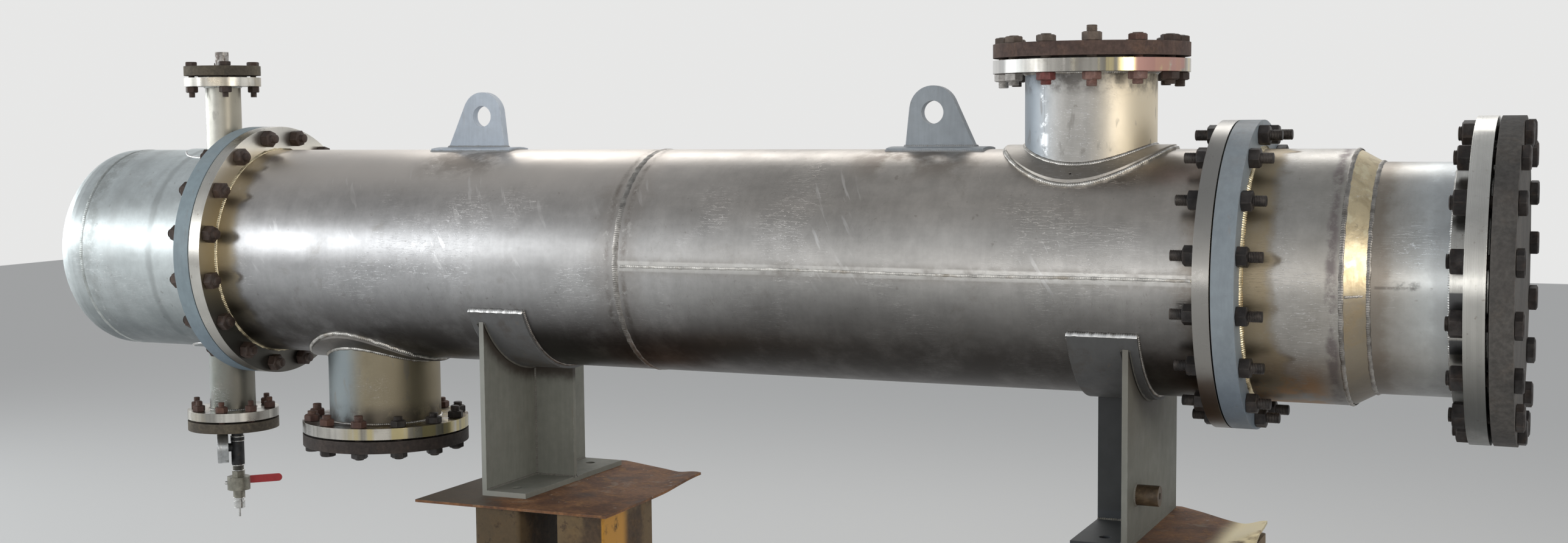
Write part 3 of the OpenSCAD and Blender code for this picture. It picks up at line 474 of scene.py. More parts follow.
def nozzle_rim(name, xc, shift, smear):
    """A polished flange with painted reflections: white glints on the left of its rim, golden ones on the right."""
    m = turned_steel(name, (0.46, 0.44, 0.405), "z", 0.21, stain=0.35, glints=shift)
    across = m.along - xc
    m.tint(m.step(across, -0.06, -0.17, 0, 0.5), (0.74, 0.75, 0.76))
    stripe = m.noise(44, 2, 0.5, stretch=(1, 1, 0), shift=shift + 5)
    m.tint(m.step(across, 0, 0.07) * m.step(stripe, 0.44, 0.56, 0.1, 0.85), (0.66, 0.56, 0.29), 0.2)
    under = m.step(abs(m.facing("z")), 0.5, 0.8)
    m.tint(under * m.cloud(13, 6, 0.7, 0.34, 0.58, shift=73) * 0.85, (0.115, 0.082, 0.062), 0.6)
    # Where smear is set, a painted reflection darkens a band across the middle of the rim, and the rim's right end
    # turns pink
    if smear:
        dark = m.band(xc + 0.03, 0.045, 0.05) * m.step(stripe, 0.6, 0.5, 0.35, 1)
        m.tint(dark * 0.75, (0.15, 0.145, 0.135), 0.3)
        pink = m.step(across, 0.125, 0.135) * m.step(m.y, -0.02, -0.04) * m.cloud(24, 4, 0.6, 0.28, 0.42, shift=75)
        m.tint(pink * 0.85, (0.52, 0.27, 0.235), 0.5)
        m.set_metal(pink * 0.85, 0.2)
    return m.done(0.001)


HIGH_FLANGE = nozzle_rim("high_flange", HIGH_X, 2, True)
LOW_FLANGE = nozzle_rim("low_flange", LOW_X, 6.5, False)


def rust(name, dark, mid, light, rough=0.8, bump=0.5, patch=0.5):
    """Rusted mill plate: dark scale under brown and orange rust, with bare worn edges."""
    m = Mat(name, dark, 0, rough)
    m.tint(m.cloud(9, 7, 0.65, 0.38, 0.62), mid)
    m.tint(m.cloud(24, 8, 0.72, 0.5, 0.68, 0, patch, shift=3, distort=0.5), light, 0.9)
    m.vary(m.cloud(95, 5, 0.7, shift=8), 0.72, 1.22)
    m.tint(m.cloud(5, 5, 0.6, 0.55, 0.7, 0, 0.5, shift=14), (0.045, 0.038, 0.036), 0.55)
    m.tint(m.edge(0.003) * m.cloud(35, 4, 0.6, 0.4, 0.6, shift=17) * 0.55, (0.27, 0.23, 0.2), 0.5)
    m.bump(m.noise(70, 8, 0.75, shift=5), bump)
    m.bump(m.noise(300, 4, 0.7, shift=6), 0.12)
    return m


BIG_RUST = rust("big_blind", (0.08, 0.05, 0.042), (0.12, 0.076, 0.06), (0.18, 0.105, 0.07)).done(0.002)
# Painted shade: the low blind's rust is a near-black copy of the rust look
DARK_RUST = rust("low_blind", (0.036, 0.028, 0.025), (0.054, 0.04, 0.034), (0.085, 0.056, 0.042)).done(0.002)
SMALL_RUST = rust("small_blind", (0.075, 0.062, 0.046), (0.115, 0.096, 0.066), (0.17, 0.135, 0.088)).done(0.0015)
END_RUST = rust("end_blind", (0.06, 0.057, 0.054), (0.085, 0.079, 0.073), (0.12, 0.098, 0.08), patch=0.3).done(0.002)


def bolt(name, dark, mid, light, metal=0, rough=0.65, patch=0.55):
    m = rust(name, dark, mid, light, rough, 0.3, patch)
    if metal:
        m.set_metal(m.cloud(30, 3, 0.5, 0.35, 0.6, shift=1), metal)
    return m.done(0.0006)


TONES = {tone: bolt(tone + "_bolt", *look) for tone, *look in (
    ("black", (0.02, 0.018, 0.018), (0.036, 0.03, 0.028), (0.075, 0.052, 0.04), 0.5, 0.5),
    ("brown", (0.042, 0.027, 0.021), (0.068, 0.043, 0.033), (0.12, 0.072, 0.05), 0.3, 0.55),
    ("rusty", (0.075, 0.036, 0.027), (0.115, 0.054, 0.038), (0.18, 0.088, 0.055)),
    ("tan", (0.115, 0.088, 0.07), (0.175, 0.135, 0.108), (0.27, 0.215, 0.175), 0.2),
    ("zinc", (0.36, 0.34, 0.32), (0.5, 0.48, 0.46), (0.64, 0.61, 0.57), 0.7, 0.42, 0.7),
    ("red", (0.15, 0.04, 0.038), (0.205, 0.06, 0.055), (0.12, 0.062, 0.05), 0, 0.55),
    ("pink", (0.18, 0.092, 0.075), (0.24, 0.13, 0.105), (0.42, 0.33, 0.3), 0, 0.6))}
m = rust("boss", (0.085, 0.058, 0.035), (0.15, 0.105, 0.062), (0.26, 0.19, 0.115), 0.45, 0.25)
m.set_metal(m.cloud(20, 3, 0.5, 0.4, 0.6), 0.6)
BOSS = m.done(0.0015)


def paint(name, color, rough=0.42, dust=0.25, chip=(0.3, 0.26, 0.22), chips=0.5, drips=0.3, metallic=0):
    """Brushed shop paint with dust, chips at the edges and rust runs."""
    m = Mat(name, color, metallic, rough)
    m.vary(m.cloud(4.5, 5, 0.6), 0.88, 1.08)
    m.vary(m.cloud(38, 5, 0.65, shift=2), 0.95, 1.05)
    brush = m.noise(26, 4, 0.6, stretch=(5, 5, 0.5), shift=6)
    m.vary(m.step(brush, 0.35, 0.65), 0.96, 1.03)
    run = m.noise(18, 4, 0.6, stretch=(3, 3, 0.25), shift=9)
    m.tint(m.step(run, 0.62, 0.76, 0, drips), (0.24, 0.17, 0.11), 0.6)
    m.tint(m.cloud(75, 5, 0.7, 0.66, 0.74, 0, 0.55, shift=4), (0.14, 0.11, 0.09), 0.6)
    m.tint(m.step(m.facing("z"), 0.3, 0.95) * m.cloud(20, 5, 0.6, 0.3, 0.65, shift=21) * dust, (0.42, 0.39, 0.34),
        0.75)
    worn = m.edge(0.0035) * m.cloud(48, 5, 0.65, 0.46, 0.6, shift=13)
    m.tint(worn * chips, chip, 0.4)
    m.set_rough(m.cloud(16, 4, 0.6, shift=3), rough + 0.15)
    m.bump(brush, 0.05)
    m.bump(m.noise(130, 4, 0.6, shift=1), 0.06)
    m.bump(worn, -0.12)
    return m


m = paint("flange_paint", (0.265, 0.325, 0.362), 0.42, 0.15, (0.36, 0.33, 0.3), 0.6)
# Painted light: the right flange is a little darker and less blue than the left
m.vary(m.past(0.5, 1.9), (0.97, 1, 1), (0.95, 0.9, 0.9))
# Painted shade: the lower part of each flange is darker and bluer
m.vary(m.above(-0.1, -0.25), (1, 1, 1), (0.62, 0.66, 0.72))
GREY_PAINT = m.done(0.0015)
m = paint("lug_paint", (0.33, 0.365, 0.4), 0.48, 0.12, (0.62, 0.63, 0.63), 0.75, 0.15)
# Painted light: the left lug and its pad are made about half again brighter
m.vary(m.past(1, 1.4), (1.5, 1.52, 1.58), (1, 1, 1))
LUG = m.done(0.0015)
m = paint("wear_pad", (0.135, 0.137, 0.138), 0.48, 0.1, (0.42, 0.41, 0.39), 0.6, 0.35)
m.tint(m.cloud(11, 6, 0.7, 0.5, 0.68, 0, 0.7, shift=81), (0.085, 0.07, 0.058), 0.5)
# Painted shade: the right wear pad is made darker
m.vary(m.past(1.2, 1.6), 1, 0.68)
WEAR = m.done(0.0012)
m = paint("saddle_primer", (0.255, 0.26, 0.225), 0.62, 0.25, (0.48, 0.49, 0.45), 0.7, 0.35)
# Painted shadow: the web is darkened just under the wear pad
burn = m.out + (m.noise(26, 5, 0.7, shift=83) - 0.5) * 0.03
m.tint(m.step(burn, 0.272, 0.305, 0.95, 0), (0.055, 0.042, 0.032), 0.6)
right = m.past(2, 2.1)
# Painted shade: the right saddle is made darker than the left
m.vary(right, 0.86, 0.66)
# Painted shadow: the right saddle's upper part is browner and darker
m.tint(right * m.above(-0.42, -0.24) * 0.6, (0.15, 0.138, 0.112))
# Painted light: the outer end faces of the saddles are made paler, the left saddle's most
rim = m.step(abs(m.facing("y")), 0.6, 0.9) * m.step(abs(m.y), 0.222, 0.225)
m.tint(rim * m.past(2.1, 2, 0.2, 0.6), (0.4, 0.405, 0.37))
# Painted shade: the right saddle's rib faces are made near black
flank = m.step(abs(m.facing("y")), 0.6, 0.9) * m.past(2.254, 2.25)
m.tint(right * flank * 0.9, (0.03, 0.033, 0.037))
# Painted shade: the left part of the right saddle's base is made dark
m.tint(right * m.past(2.254, 2.25) * m.above(-0.5, -0.512) * 0.75, (0.04, 0.046, 0.055), 0.5)
PRIMER = m.done(0.0012)
RED = paint("lever", (0.46, 0.035, 0.04), 0.38, 0.1, (0.3, 0.25, 0.22), 0.8, 0.2).done(0.0006)


def small_part(name, color, metallic, rough, cloud, tones, edge=0, spots=None, stain=(), rub=None,
        grain=None, mm=0):
    """A small fitting: clouds in its tone, stained spots, rubbed places and a fine grain."""
    m = Mat(name, color, metallic, rough)
    m.vary(m.cloud(*cloud), *tones)
    if spots:
        m.tint(m.cloud(*spots[:-1], shift=spots[-1]), *stain)
    if rub:
        m.set_rough(m.cloud(rub[0], 4, 0.6, 0.4, 0.7, shift=3), rub[1])
    if grain:
        m.bump(m.noise(*grain), mm)
    return m.done(edge)


def weld(name, color, shade, rough=0.3, low=0.55, mm=0.08):
    return small_part(name, color, 1, rough, (40, 6, 0.7), (low, 1.15), 0,
        (16, 5, 0.65, 0.5, 0.66, 0, 0.6, 4), (shade, 0.42), grain=(240, 4, 0.7), mm=mm)


GASKET = small_part("gasket", (0.022, 0.021, 0.02), 0, 0.75, (60, 4, 0.6), (0.7, 1.5), grain=(260, 3, 0.6), mm=0.08)
STUB = small_part("stub", (0.46, 0.44, 0.42), 0.9, 0.42, (55, 5, 0.7), (0.6, 1.15), 0.001,
    (80, 4, 0.6, 0.48, 0.62, 0, 0.75, 3), ((0.13, 0.1, 0.085), 0.6), grain=(150, 5, 0.7), mm=0.3)
TEE = small_part("black_pipe", (0.022, 0.023, 0.024), 0.3, 0.5, (45, 5, 0.65), (0.6, 1.7), 0.001,
    (70, 5, 0.7, 0.6, 0.7, 0, 0.6, 4), ((0.1, 0.065, 0.045), 0.8), grain=(220, 4, 0.7), mm=0.12)
CASE = small_part("gauge_case", (0.5, 0.515, 0.52), 0.9, 0.26, (70, 4, 0.6), (0.8, 1.05), 0.0012, rub=(40, 0.44),
    grain=(200, 3, 0.6), mm=0.03)
VALVE = small_part("valve_brass", (0.29, 0.28, 0.235), 0.85, 0.4, (50, 5, 0.65), (0.7, 1.15), 0.0012,
    (90, 5, 0.7, 0.55, 0.68, 0, 0.6, 5), ((0.12, 0.1, 0.075), 0.7), grain=(260, 4, 0.7), mm=0.1)
BRIGHT = small_part("bright_fitting", (0.7, 0.7, 0.68), 1, 0.2, (90, 4, 0.6), (0.75, 1.05), 0.0008, rub=(60, 0.38),
    grain=(300, 3, 0.6), mm=0.03)
DIAL = small_part("dial", (0.8, 0.8, 0.77), 0, 0.5, (60, 4, 0.6), (0.92, 1.02), 0,
    (120, 5, 0.7, 0.62, 0.72, 0, 0.4, 4), ((0.5, 0.45, 0.36),), grain=(400, 2, 0.5), mm=0.01)
PRINT = small_part("dial_print", (0.02, 0.02, 0.02), 0, 0.5, (300, 4, 0.6), (0.6, 1.5))

WELD = weld("weld_bright", (0.72, 0.7, 0.66), (0.3, 0.25, 0.19))
WHITE_WELD = weld("weld_white", (0.88, 0.88, 0.87), (0.62, 0.6, 0.57), 0.34, 0.75)
GOLD_WELD = weld("weld_gold", (0.82, 0.71, 0.48), (0.42, 0.33, 0.2), 0.28, 0.6)
DULL_WELD = weld("weld_dull", (0.42, 0.4, 0.375), (0.16, 0.14, 0.12), 0.4, 0.55, 0.1)
GREY_WELD = weld("weld_grey", (0.5, 0.53, 0.52), (0.36, 0.37, 0.35), 0.4, 0.75)
PAINT_WELD = paint("painted_weld", (0.155, 0.15, 0.13), 0.6, 0.2, (0.45, 0.45, 0.42), 0.4, 0.3).done()
LUG_WELD = paint("lug_weld", (0.33, 0.345, 0.36), 0.5, 0.25, (0.3, 0.27, 0.24), 0.4, 0.4).done()

m = rust("stool_top", (0.165, 0.07, 0.032), (0.31, 0.14, 0.056), (0.46, 0.235, 0.095), 0.74, 0.5, 0.75)
m.tint(m.cloud(8, 6, 0.7, 0.56, 0.66, 0, 0.5, shift=26, distort=1.2), (0.38, 0.29, 0.21), 0.7)
plain = m.step(m.along + m.noise(10, 5, 0.65, shift=28) * 0.22, 0.97, 0.9)
m.tint(plain * m.step(m.facing("z"), 0.3, 0.7) * 0.85, (0.155, 0.135, 0.105), 0.7)
fleck = m.cloud(75, 3, 0.6, 0.66, 0.72, shift=29) * m.cloud(7, 2, 0.5, 0.48, 0.6, shift=30)
m.tint(fleck * 0.85, (0.62, 0.6, 0.56), 0.6)
# Painted highlight: the lifted corner of the right stand's top is pale gold and shiny
corner = m.past(2.39, 2.44) * m.step(m.y, -0.14, -0.07) * m.cloud(14, 4, 0.6, 0.25, 0.45, shift=31)
m.tint(corner * 0.9, (0.92, 0.8, 0.48), 0.36)
m.set_metal(corner, 0.8)
m.vary(0, 0.78, 0.78)  # darker all over
STOOL_TOP = m.done(0.001)

m = rust("stool_post", (0.056, 0.034, 0.018), (0.086, 0.052, 0.026), (0.14, 0.082, 0.038), 0.72, 0.5, 0.65)
smudge = m.cloud(6, 5, 0.6, 0.46, 0.56, shift=33) * m.cloud(40, 6, 0.7, 0.34, 0.44, shift=35)
m.tint(smudge * 0.35, (0.27, 0.18, 0.07), 0.5)
ends = m.math("MAXIMUM", m.past(1.06, 1.07) * m.past(1.2, 1.19), m.past(2.43, 2.44))
painted = m.step(m.facing("x"), 0.5, 0.8) * ends * m.step(m.y, -0.195, -0.23)
m.tint(painted * m.cloud(16, 6, 0.7, 0.34, 0.48, shift=37) * 0.95, (0.56, 0.27, 0.03), 0.45)
# Painted shade: the left stand's left legs are made darker
m.vary(m.past(0.99, 0.93) * m.past(0.5, 0.6), 1, 0.62)
STOOL_POST = m.done(0.002)

# Which pieces of the CAD model wear each look
LOOKS = {
    BONNET: "bonnet_head bonnet_barrel", SHELL: "shell_left shell_right", CHANNEL: "channel_barrel channel_neck",
    CONE: "channel_cone", GREY_PAINT: "bonnet_flange channel_flange", MACHINED: "left_tubesheet right_tubesheet",
    GASKET: "body_gaskets end_gasket nozzle_gaskets", END_FLANGE: "end_flange", END_RUST: "end_blind",
    VENT: "vent_pipe", DRAIN: "drain_pipe", SMALL_FLANGE: "vent_flange drain_flange",
    SMALL_RUST: "vent_blind drain_blind", STUB: "vent_stub", TEE: "test_tee", CASE: "pressure_gauge",
    VALVE: "test_valve", RED: "valve_lever", BRIGHT: "hose_fitting", HIGH: "high_pipe", LOW: "low_pipe",
    PAD: "nozzle_pads", HIGH_FLANGE: "high_flange", LOW_FLANGE: "low_flange", BIG_RUST: "high_blind",
    DARK_RUST: "low_blind", LUG: "lifting_lugs lug_pads", WEAR: "wear_pads", TONES["black"]: "end_studs",
    PRIMER: "saddle_webs saddle_ribs saddle_bases", BOSS: "earth_boss", STOOL_TOP: "stool_tops",
    STOOL_POST: "stool_posts",
}
for mat, names in LOOKS.items():
    for name in names.split():
        NODES[name].data.materials.clear()
        NODES[name].data.materials.append(mat)


# ---------------------------------------------------------------- meshes
def link(name, data):
    obj = bpy.data.objects.new(name, data)
    bpy.context.scene.collection.objects.link(obj)
    return obj


def mesh(name, verts, faces, mat, smooth=True):
    data = bpy.data.meshes.new(name)
    data.from_pydata([tuple(map(float, v)) for v in verts], [], [tuple(map(int, f)) for f in faces])
    data.materials.append(mat)
    for poly in data.polygons:
        poly.use_smooth = smooth
    return link(name, data)


def piece(name, verts, faces, mat, slot, sharp=None, smooth=True):
    obj = mesh(name, verts, faces, mat, smooth)
    if sharp:
        obj.data.set_sharp_from_angle(angle=math.radians(sharp))
    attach(obj, "exchanger")
    return obj


def join(parts):
    """One list of vertices and one of faces from several."""
    verts, faces = [], []
    for v, f in parts:
        faces.extend([tuple(i + len(verts) for i in face) for face in f])
        verts.extend(v)
    return verts, faces


def quads(rows, n, around=True, loop=False):
    """Faces between rows of n points; around closes each row, loop joins the last row to the first."""
    return [(i * n + k, i * n + (k + 1) % n, (i + 1) % rows * n + (k + 1) % n, (i + 1) % rows * n + k)
            for i in range(rows if loop else rows - 1) for k in range(n if around else n - 1)]


def ends(rows, n):
    return [tuple(range(n - 1, -1, -1)), tuple(range((rows - 1) * n, rows * n))]


def tube(rows):
    """A closed solid from rings of points."""
    n = len(rows[0])
    return [p for row in rows for p in row], quads(len(rows), n) + ends(len(rows), n)


def lathe(profile, sides, place=(0, 0, 0), axis=(0, 0, 1), spin=0, hexes=()):
    """A solid of revolution from (radius, height) pairs; the rings named in hexes are six sided."""
    turn = Vector((0, 0, 1)).rotation_difference(Vector(axis)).to_matrix()
    rows = []
    for i, (r, h) in enumerate(profile):
        rows.append([])
        for k in range(sides):
            a = 2 * math.pi * k / sides
            rr = r / math.cos(a % (math.pi / 3) - math.pi / 6) if i in hexes else r
            p = turn @ Vector((rr * math.cos(a + spin), rr * math.sin(a + spin), h))
            rows[-1].append([u + v for u, v in zip(p, place)])
    return tube(rows)


def nut(place, axis, flats, high, spin):
    """A chamfered hexagon, its seat at place."""
    r = flats / 2
    prof = [(r * 0.95, 0), (r, 0.0012), (r, high - flats * 0.055), (r * 0.93, high)]
    return lathe(prof, 24, place, axis, spin, hexes=(1, 2))


def thread(place, axis, r, length, spin, pitch=0.003):
    """A threaded rod end from place outwards, with a chamfered tip."""
    prof, h = [(r, 0)], 0
    while h < length - pitch:
        prof += [(r * 0.91, h + pitch / 2), (r, h + pitch)]
        h += pitch
    return lathe(prof + [(r * 0.9, length - 0.0005), (r * 0.82, length)], 16, place, axis, spin)


def bolting(name, tone, rows):
    """Studs and nuts as one joined piece. Each row is (place, axis, rod radius, list of nuts, start, end)."""
    parts = []
    for place, axis, r, nuts, start, end in rows:
        base, ax = Vector(place), Vector(axis)
        spin = rng.random() * math.pi
        tip = end + rng.uniform(-0.002, 0.002)
        mid = (start + tip) / 2
        parts.append(thread(base + ax * mid, ax, r, tip - mid, spin))
        parts.append(thread(base + ax * mid, -ax, r, mid - start, spin))
        for at, direction, flats, high in nuts:
            parts.append(nut(base + ax * at, ax * direction, flats, high, rng.random() * math.pi))
    return piece(name, *join(parts), TONES[tone], "bolt_rust", sharp=35)


def bolt_circle(centre, radius, count, upright=True):
    """Places on a bolt circle round an upright axis at centre, or round the shell's axis."""
    for k in range(count):
        a = 2 * math.pi * (k + 0.5) / count
        c, s = radius * math.cos(a), radius * math.sin(a)
        yield P(centre + c, s, 0) if upright else P(centre, c, s)


# Body flanges: studs with a heavy nut on both sides
for side, x0, x1, past, tone in (("left", LEFT_FACE, LEFT_BACK, 0.033, "brown"),
                                 ("right", RIGHT_FACE, RIGHT_BACK, 0.047, "black")):
    nuts = [(x0, -1, 0.0365, 0.022), (x1, 1, 0.0365, 0.022)]
    bolting(side + "_body_bolting", tone, [(p, (1, 0, 0), 0.0111, nuts, x0 - past, x1 + past)
                                           for p in bolt_circle(0, 0.2875, 16, False)])

# End closure: heads outside, nuts behind the flange
lo, hi = (v.x - SHIFT_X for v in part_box("end_studs"))
nuts = [(lo + 0.033, -1, 0.046, 0.025), (hi - 0.017, 1, 0.046, 0.0168)]
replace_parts(bolting("end_closure_bolting", "black", [(p, (1, 0, 0), 0.0143, nuts, lo + 0.001, hi - 0.012)
                                                     for p in bolt_circle(0, 0.288925, 16, False)]), "end_studs")

# Large nozzles: nuts over the blind and under the flange, each bolt drawn as two halves in the photo's tones
top, under = REACH + GASKET_T + BIG_BLIND_T, REACH - BIG_FLANGE_T
for label, xc, up, over_tones, under_tones in (
        ("high", HIGH_X, 1, "brown " * 5 + "tan " * 5 + "rusty brown",
         "brown " * 6 + "zinc zinc red pink pink brown"),
        # The nuts under the low blind all take the black tone, as painted shade
        ("low", LOW_X, -1, "black " * 12, "black " * 2 + "rusty " * 8 + "black " * 2)):
    groups = {}
    rows = zip(bolt_circle(xc, 0.180975, 12), over_tones.split(), under_tones.split())
    for k, (place, tone, low_tone) in enumerate(rows):
        high, past = (0.018, 0.0315) if (label, k) == ("high", 9) else (0.014, 0.0165)
        groups.setdefault(tone, []).append((place, (0, 0, up), 0.0111, [(top, 1, 0.035, high)], REACH, top + past))
        groups.setdefault(low_tone, []).append((place, (0, 0, up), 0.0111, [(under, -1, 0.0335, 0.0165)],
                                                under - (0.0255 if k % 3 else 0.0295), REACH))
    for tone, rows in groups.items():
        bolting(f"{label}_nozzle_bolting_{tone}", tone, rows)

# Vent and drain
top, under = REACH + GASKET_T + SMALL_BLIND_T, REACH - SMALL_FLANGE_T
for label, radius, count, up, tone, past in (("vent", 0.0762, 4, 1, "brown", 0.009),
                                             ("drain", 0.09525, 8, -1, "rusty", 0.0025)):
    nuts = [(under, -1, 0.027, 0.0155), (top, 1, 0.027, 0.011)][:1 if up < 0 else 2]
    bolting(label + "_bolting", tone, [(p, (0, 0, up), 0.0079, nuts, under - 0.0275, top + past)
                                       for p in bolt_circle(PIPE_X, radius, count)])


# ---------------------------------------------------------------- weld beads
RIPPLE, SINK = 0.0048, 0.0006


def unit(v):
    return v / np.linalg.norm(v, axis=1)[:, None]


def bead(name, path, width, high, mat, slot, seed, closed=True):
    """A rippled weld bead along a path of points, each with its outward direction."""
    pts, nrm = (np.asarray(v, float) for v in path)
    if closed:
        pts, nrm = np.vstack([pts, pts[:1]]), np.vstack([nrm, nrm[:1]])
    s = np.concatenate([[0], np.cumsum(np.linalg.norm(np.diff(pts, axis=0), axis=1))])
    length = s[-1]
    ripples = max(3, round(length / RIPPLE))
    at = np.linspace(0, length, ripples * 4 + 1)[:-1 if closed else None]
    p, n = (np.stack([np.interp(at, s, v[:, i]) for i in range(3)], 1) for v in (pts, nrm))
    t = unit(np.roll(p, -1, 0) - np.roll(p, 1, 0) if closed else np.gradient(p, axis=0))
    n = unit(n - (n * t).sum(1)[:, None] * t)
    k = np.linspace(-1, 1, 7)
    phases = np.random.RandomState(seed).rand(6) * 6.283
    turns = [round(length / w) for w in (0.021, 0.034, 0.055)]
    u = at / length * 2 * np.pi
    wander, swell = (sum(np.sin(u * max(1, q + i) + phases[i + j]) for j, q in enumerate(turns)) / 3 for i in (0, 3))
    ripple = np.abs(np.sin(np.pi * (at[:, None] / length * ripples - 0.45 * k ** 2))) ** 0.6
    h = high * np.clip(1 - k ** 2, 0, 1) ** 0.6 * (0.62 + 0.38 * ripple) * (1 + 0.22 * swell)[:, None]
    across = width / 2 * k * (1 + 0.13 * wander)[:, None] + (width * 0.05 * swell)[:, None]
    v = p[:, None] + np.cross(t, n)[:, None] * across[:, :, None] + n[:, None] * (h - SINK)[:, :, None]
    faces = quads(len(at), 7, around=False, loop=closed) + ([] if closed else ends(len(at), 7))
    return piece(name, v.reshape(-1, 3), faces, mat, slot)


def circle(count):
    a = np.linspace(0, 2 * np.pi, count, endpoint=False)
    return np.cos(a), np.sin(a)


def path(x, y, z, *normal):
    """Points and their outward directions; a single number holds all along the path."""
    v = np.broadcast_arrays(*P(x, y, z), *normal)
    return np.stack(v[:3], 1), np.stack(v[3:], 1)


def ring_path(x, r, lean=0):
    """A ring round the shell; lean tips its outward direction along X."""
    c, s = circle(240)
    return path(x, r * c, r * s, lean, c, s)


def nozzle_path(xc, rn, up, shell):
    """Where an upright pipe or a round pad's edge meets the shell."""
    c, s = circle(240)
    y = rn * s
    z = np.sqrt(shell ** 2 - y ** 2) * up
    return path(xc + rn * c, y, z, c, s + y / shell, z / shell)


for seed, (name, at, width, high, mat, slot) in enumerate((
        ("head_seam", ring_path(-0.395, R), 0.012, 0.0016, GREY_WELD, "bonnet"),
        ("girth_seam", ring_path(GIRTH_X, R), 0.016, 0.0022, DULL_WELD, "shell"),
        ("left_tubesheet", ring_path(LEFT_BACK, R, 1), 0.016, 0.0045, GOLD_WELD, "shell"),
        ("right_tubesheet", ring_path(RIGHT_FACE, R, -1), 0.014, 0.004, WELD, "shell"),
        ("channel_flange", ring_path(RIGHT_BACK, R, 1), 0.022, 0.006, GOLD_WELD, "channel"),
        ("bonnet_flange", ring_path(LEFT_FACE, R, -1), 0.012, 0.004, WELD, "bonnet"),
        ("cone_start", ring_path(CONE_X, R - 0.0003), 0.01, 0.0028, DULL_WELD, "cone"),
        ("cone_end", ring_path(CONE_END_X, NECK_R + 0.0006), 0.01, 0.0028, DULL_WELD, "cone"),
        ("hub", ring_path(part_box("end_flange")[0].x - SHIFT_X, NECK_R, -1), 0.012, 0.005, WHITE_WELD, "end_flange"),
        ), 1):
    bead(name + "_weld", at, width, high, mat, slot + "_steel", seed)

c, s = circle(160)
for label, xc, rn, up, pad in (("high", HIGH_X, BIG_R, 1, PAD_T), ("low", LOW_X, BIG_R, -1, PAD_T),
                               ("vent", PIPE_X, VENT_R, 1, 0), ("drain", PIPE_X, DRAIN_R, -1, 0)):
    seed = len(label) + up
    width, high, t = (0.011, 0.0045, BIG_FLANGE_T) if pad else (0.009, 0.003, SMALL_FLANGE_T)
    bead(label + "_pipe_weld", nozzle_path(xc, rn, up, R + pad), width, high, WELD, "shell_steel", 11 + seed)
    if pad:
        bead(label + "_pad_weld", nozzle_path(xc, PAD_R + 0.001, up, R + 0.002), 0.011, 0.0055, WELD,
             "nozzle_pad_steel", 17 + up)
    bead(label + "_flange_weld", path(xc + rn * c, rn * s, up * (REACH - t), c, s, -up), 0.011, 0.004, WELD,
         "big_flange_steel", 21 + seed)

# The small pipes have a thin reinforcing ring, welded round its edge
for label, rn, up in (("vent", VENT_R, 1), ("drain", DRAIN_R, -1)):
    rings = [nozzle_path(PIPE_X, r, up, R + rise)[0] for r, rise in (
        (rn + 0.0005, -0.0005), (rn + 0.0005, 0.0035), (0.0925, 0.0035), (0.093, -0.0005))]
    faces = [quad[::-up] for quad in quads(4, len(rings[0]), loop=True)]
    piece(label + "_ring", np.vstack(rings), faces, BONNET, "bonnet_steel", sharp=40)
    bead(label + "_ring_weld", nozzle_path(PIPE_X, 0.0935, up, R + 0.0005), 0.008, 0.0035, WHITE_WELD,
         "bonnet_steel", 26 + up)

# Longitudinal seams on the near side
x = np.linspace(1.15, 2.398, 60)
z = 0.0045 + 0.0012 * np.sin(x * 9)
bead("long_seam_weld", path(x, -np.sqrt(R * R - z * z), z, 0, -1, z / R), 0.008, 0.0013, WELD, "shell_steel",
     31, False)
c, s = math.cos(math.radians(-4)), math.sin(math.radians(-4))
r = np.array((R - 0.003, 0.2413, NECK_R + 0.003))
bead("cone_seam_weld", path(np.array((2.681, 2.698, 2.714)), -r * c, r * s, 0.48, -c, s), 0.006, 0.0016, DULL_WELD,
     "cone_steel", 32, False)

# Lifting lugs: weld round the foot of each plate and round each pad
for label, xc, sgn in (("left", 0.645, 1), ("right", 1.788, -1)):
    xa, xb = sorted((xc - sgn * 0.095, xc + sgn * 0.062))
    half = 0.01
    corners = np.array(((xa, -half, 0, -1), (xb, -half, 0, -1), (xb, -half, 1, 0), (xb, half, 1, 0),
                        (xb, half, 0, 1), (xa, half, 0, 1), (xa, half, -1, 0), (xa, -half, -1, 0))).T
    bead(label + "_lug_weld", path(*corners[:2], R + 0.006, *corners[2:], 1), 0.009, 0.0045, LUG_WELD, "lug_paint",
         41 + sgn)
    mid, a = xc - sgn * 0.015, np.linspace(1, -1, 12) * math.asin(0.042 / R)
    a, end = np.concatenate([a, -a]), np.repeat((-1, 1), 12)
    bead(label + "_lug_pad_weld", path(mid + end * 0.11, R * np.sin(a), R * np.cos(a), end, np.sin(a), 1),
         0.008, 0.0035, LUG_WELD, "lug_paint", 43 + sgn)


def arc_path(x, r, edge, lean, out):
    """The lower part of a ring, ending edge radians under the axis on both sides; out is 1 or -1."""
    a = np.linspace(math.pi + edge, 2 * math.pi - edge, 60)
    return path(x, r * np.cos(a), r * np.sin(a), lean, out * np.cos(a), out * np.sin(a))


def saddle_bead(name, at, width, high, seed, mat=PAINT_WELD, slot="saddle_primer"):
    bead(name, at, width, high, mat, slot, seed, closed=False)


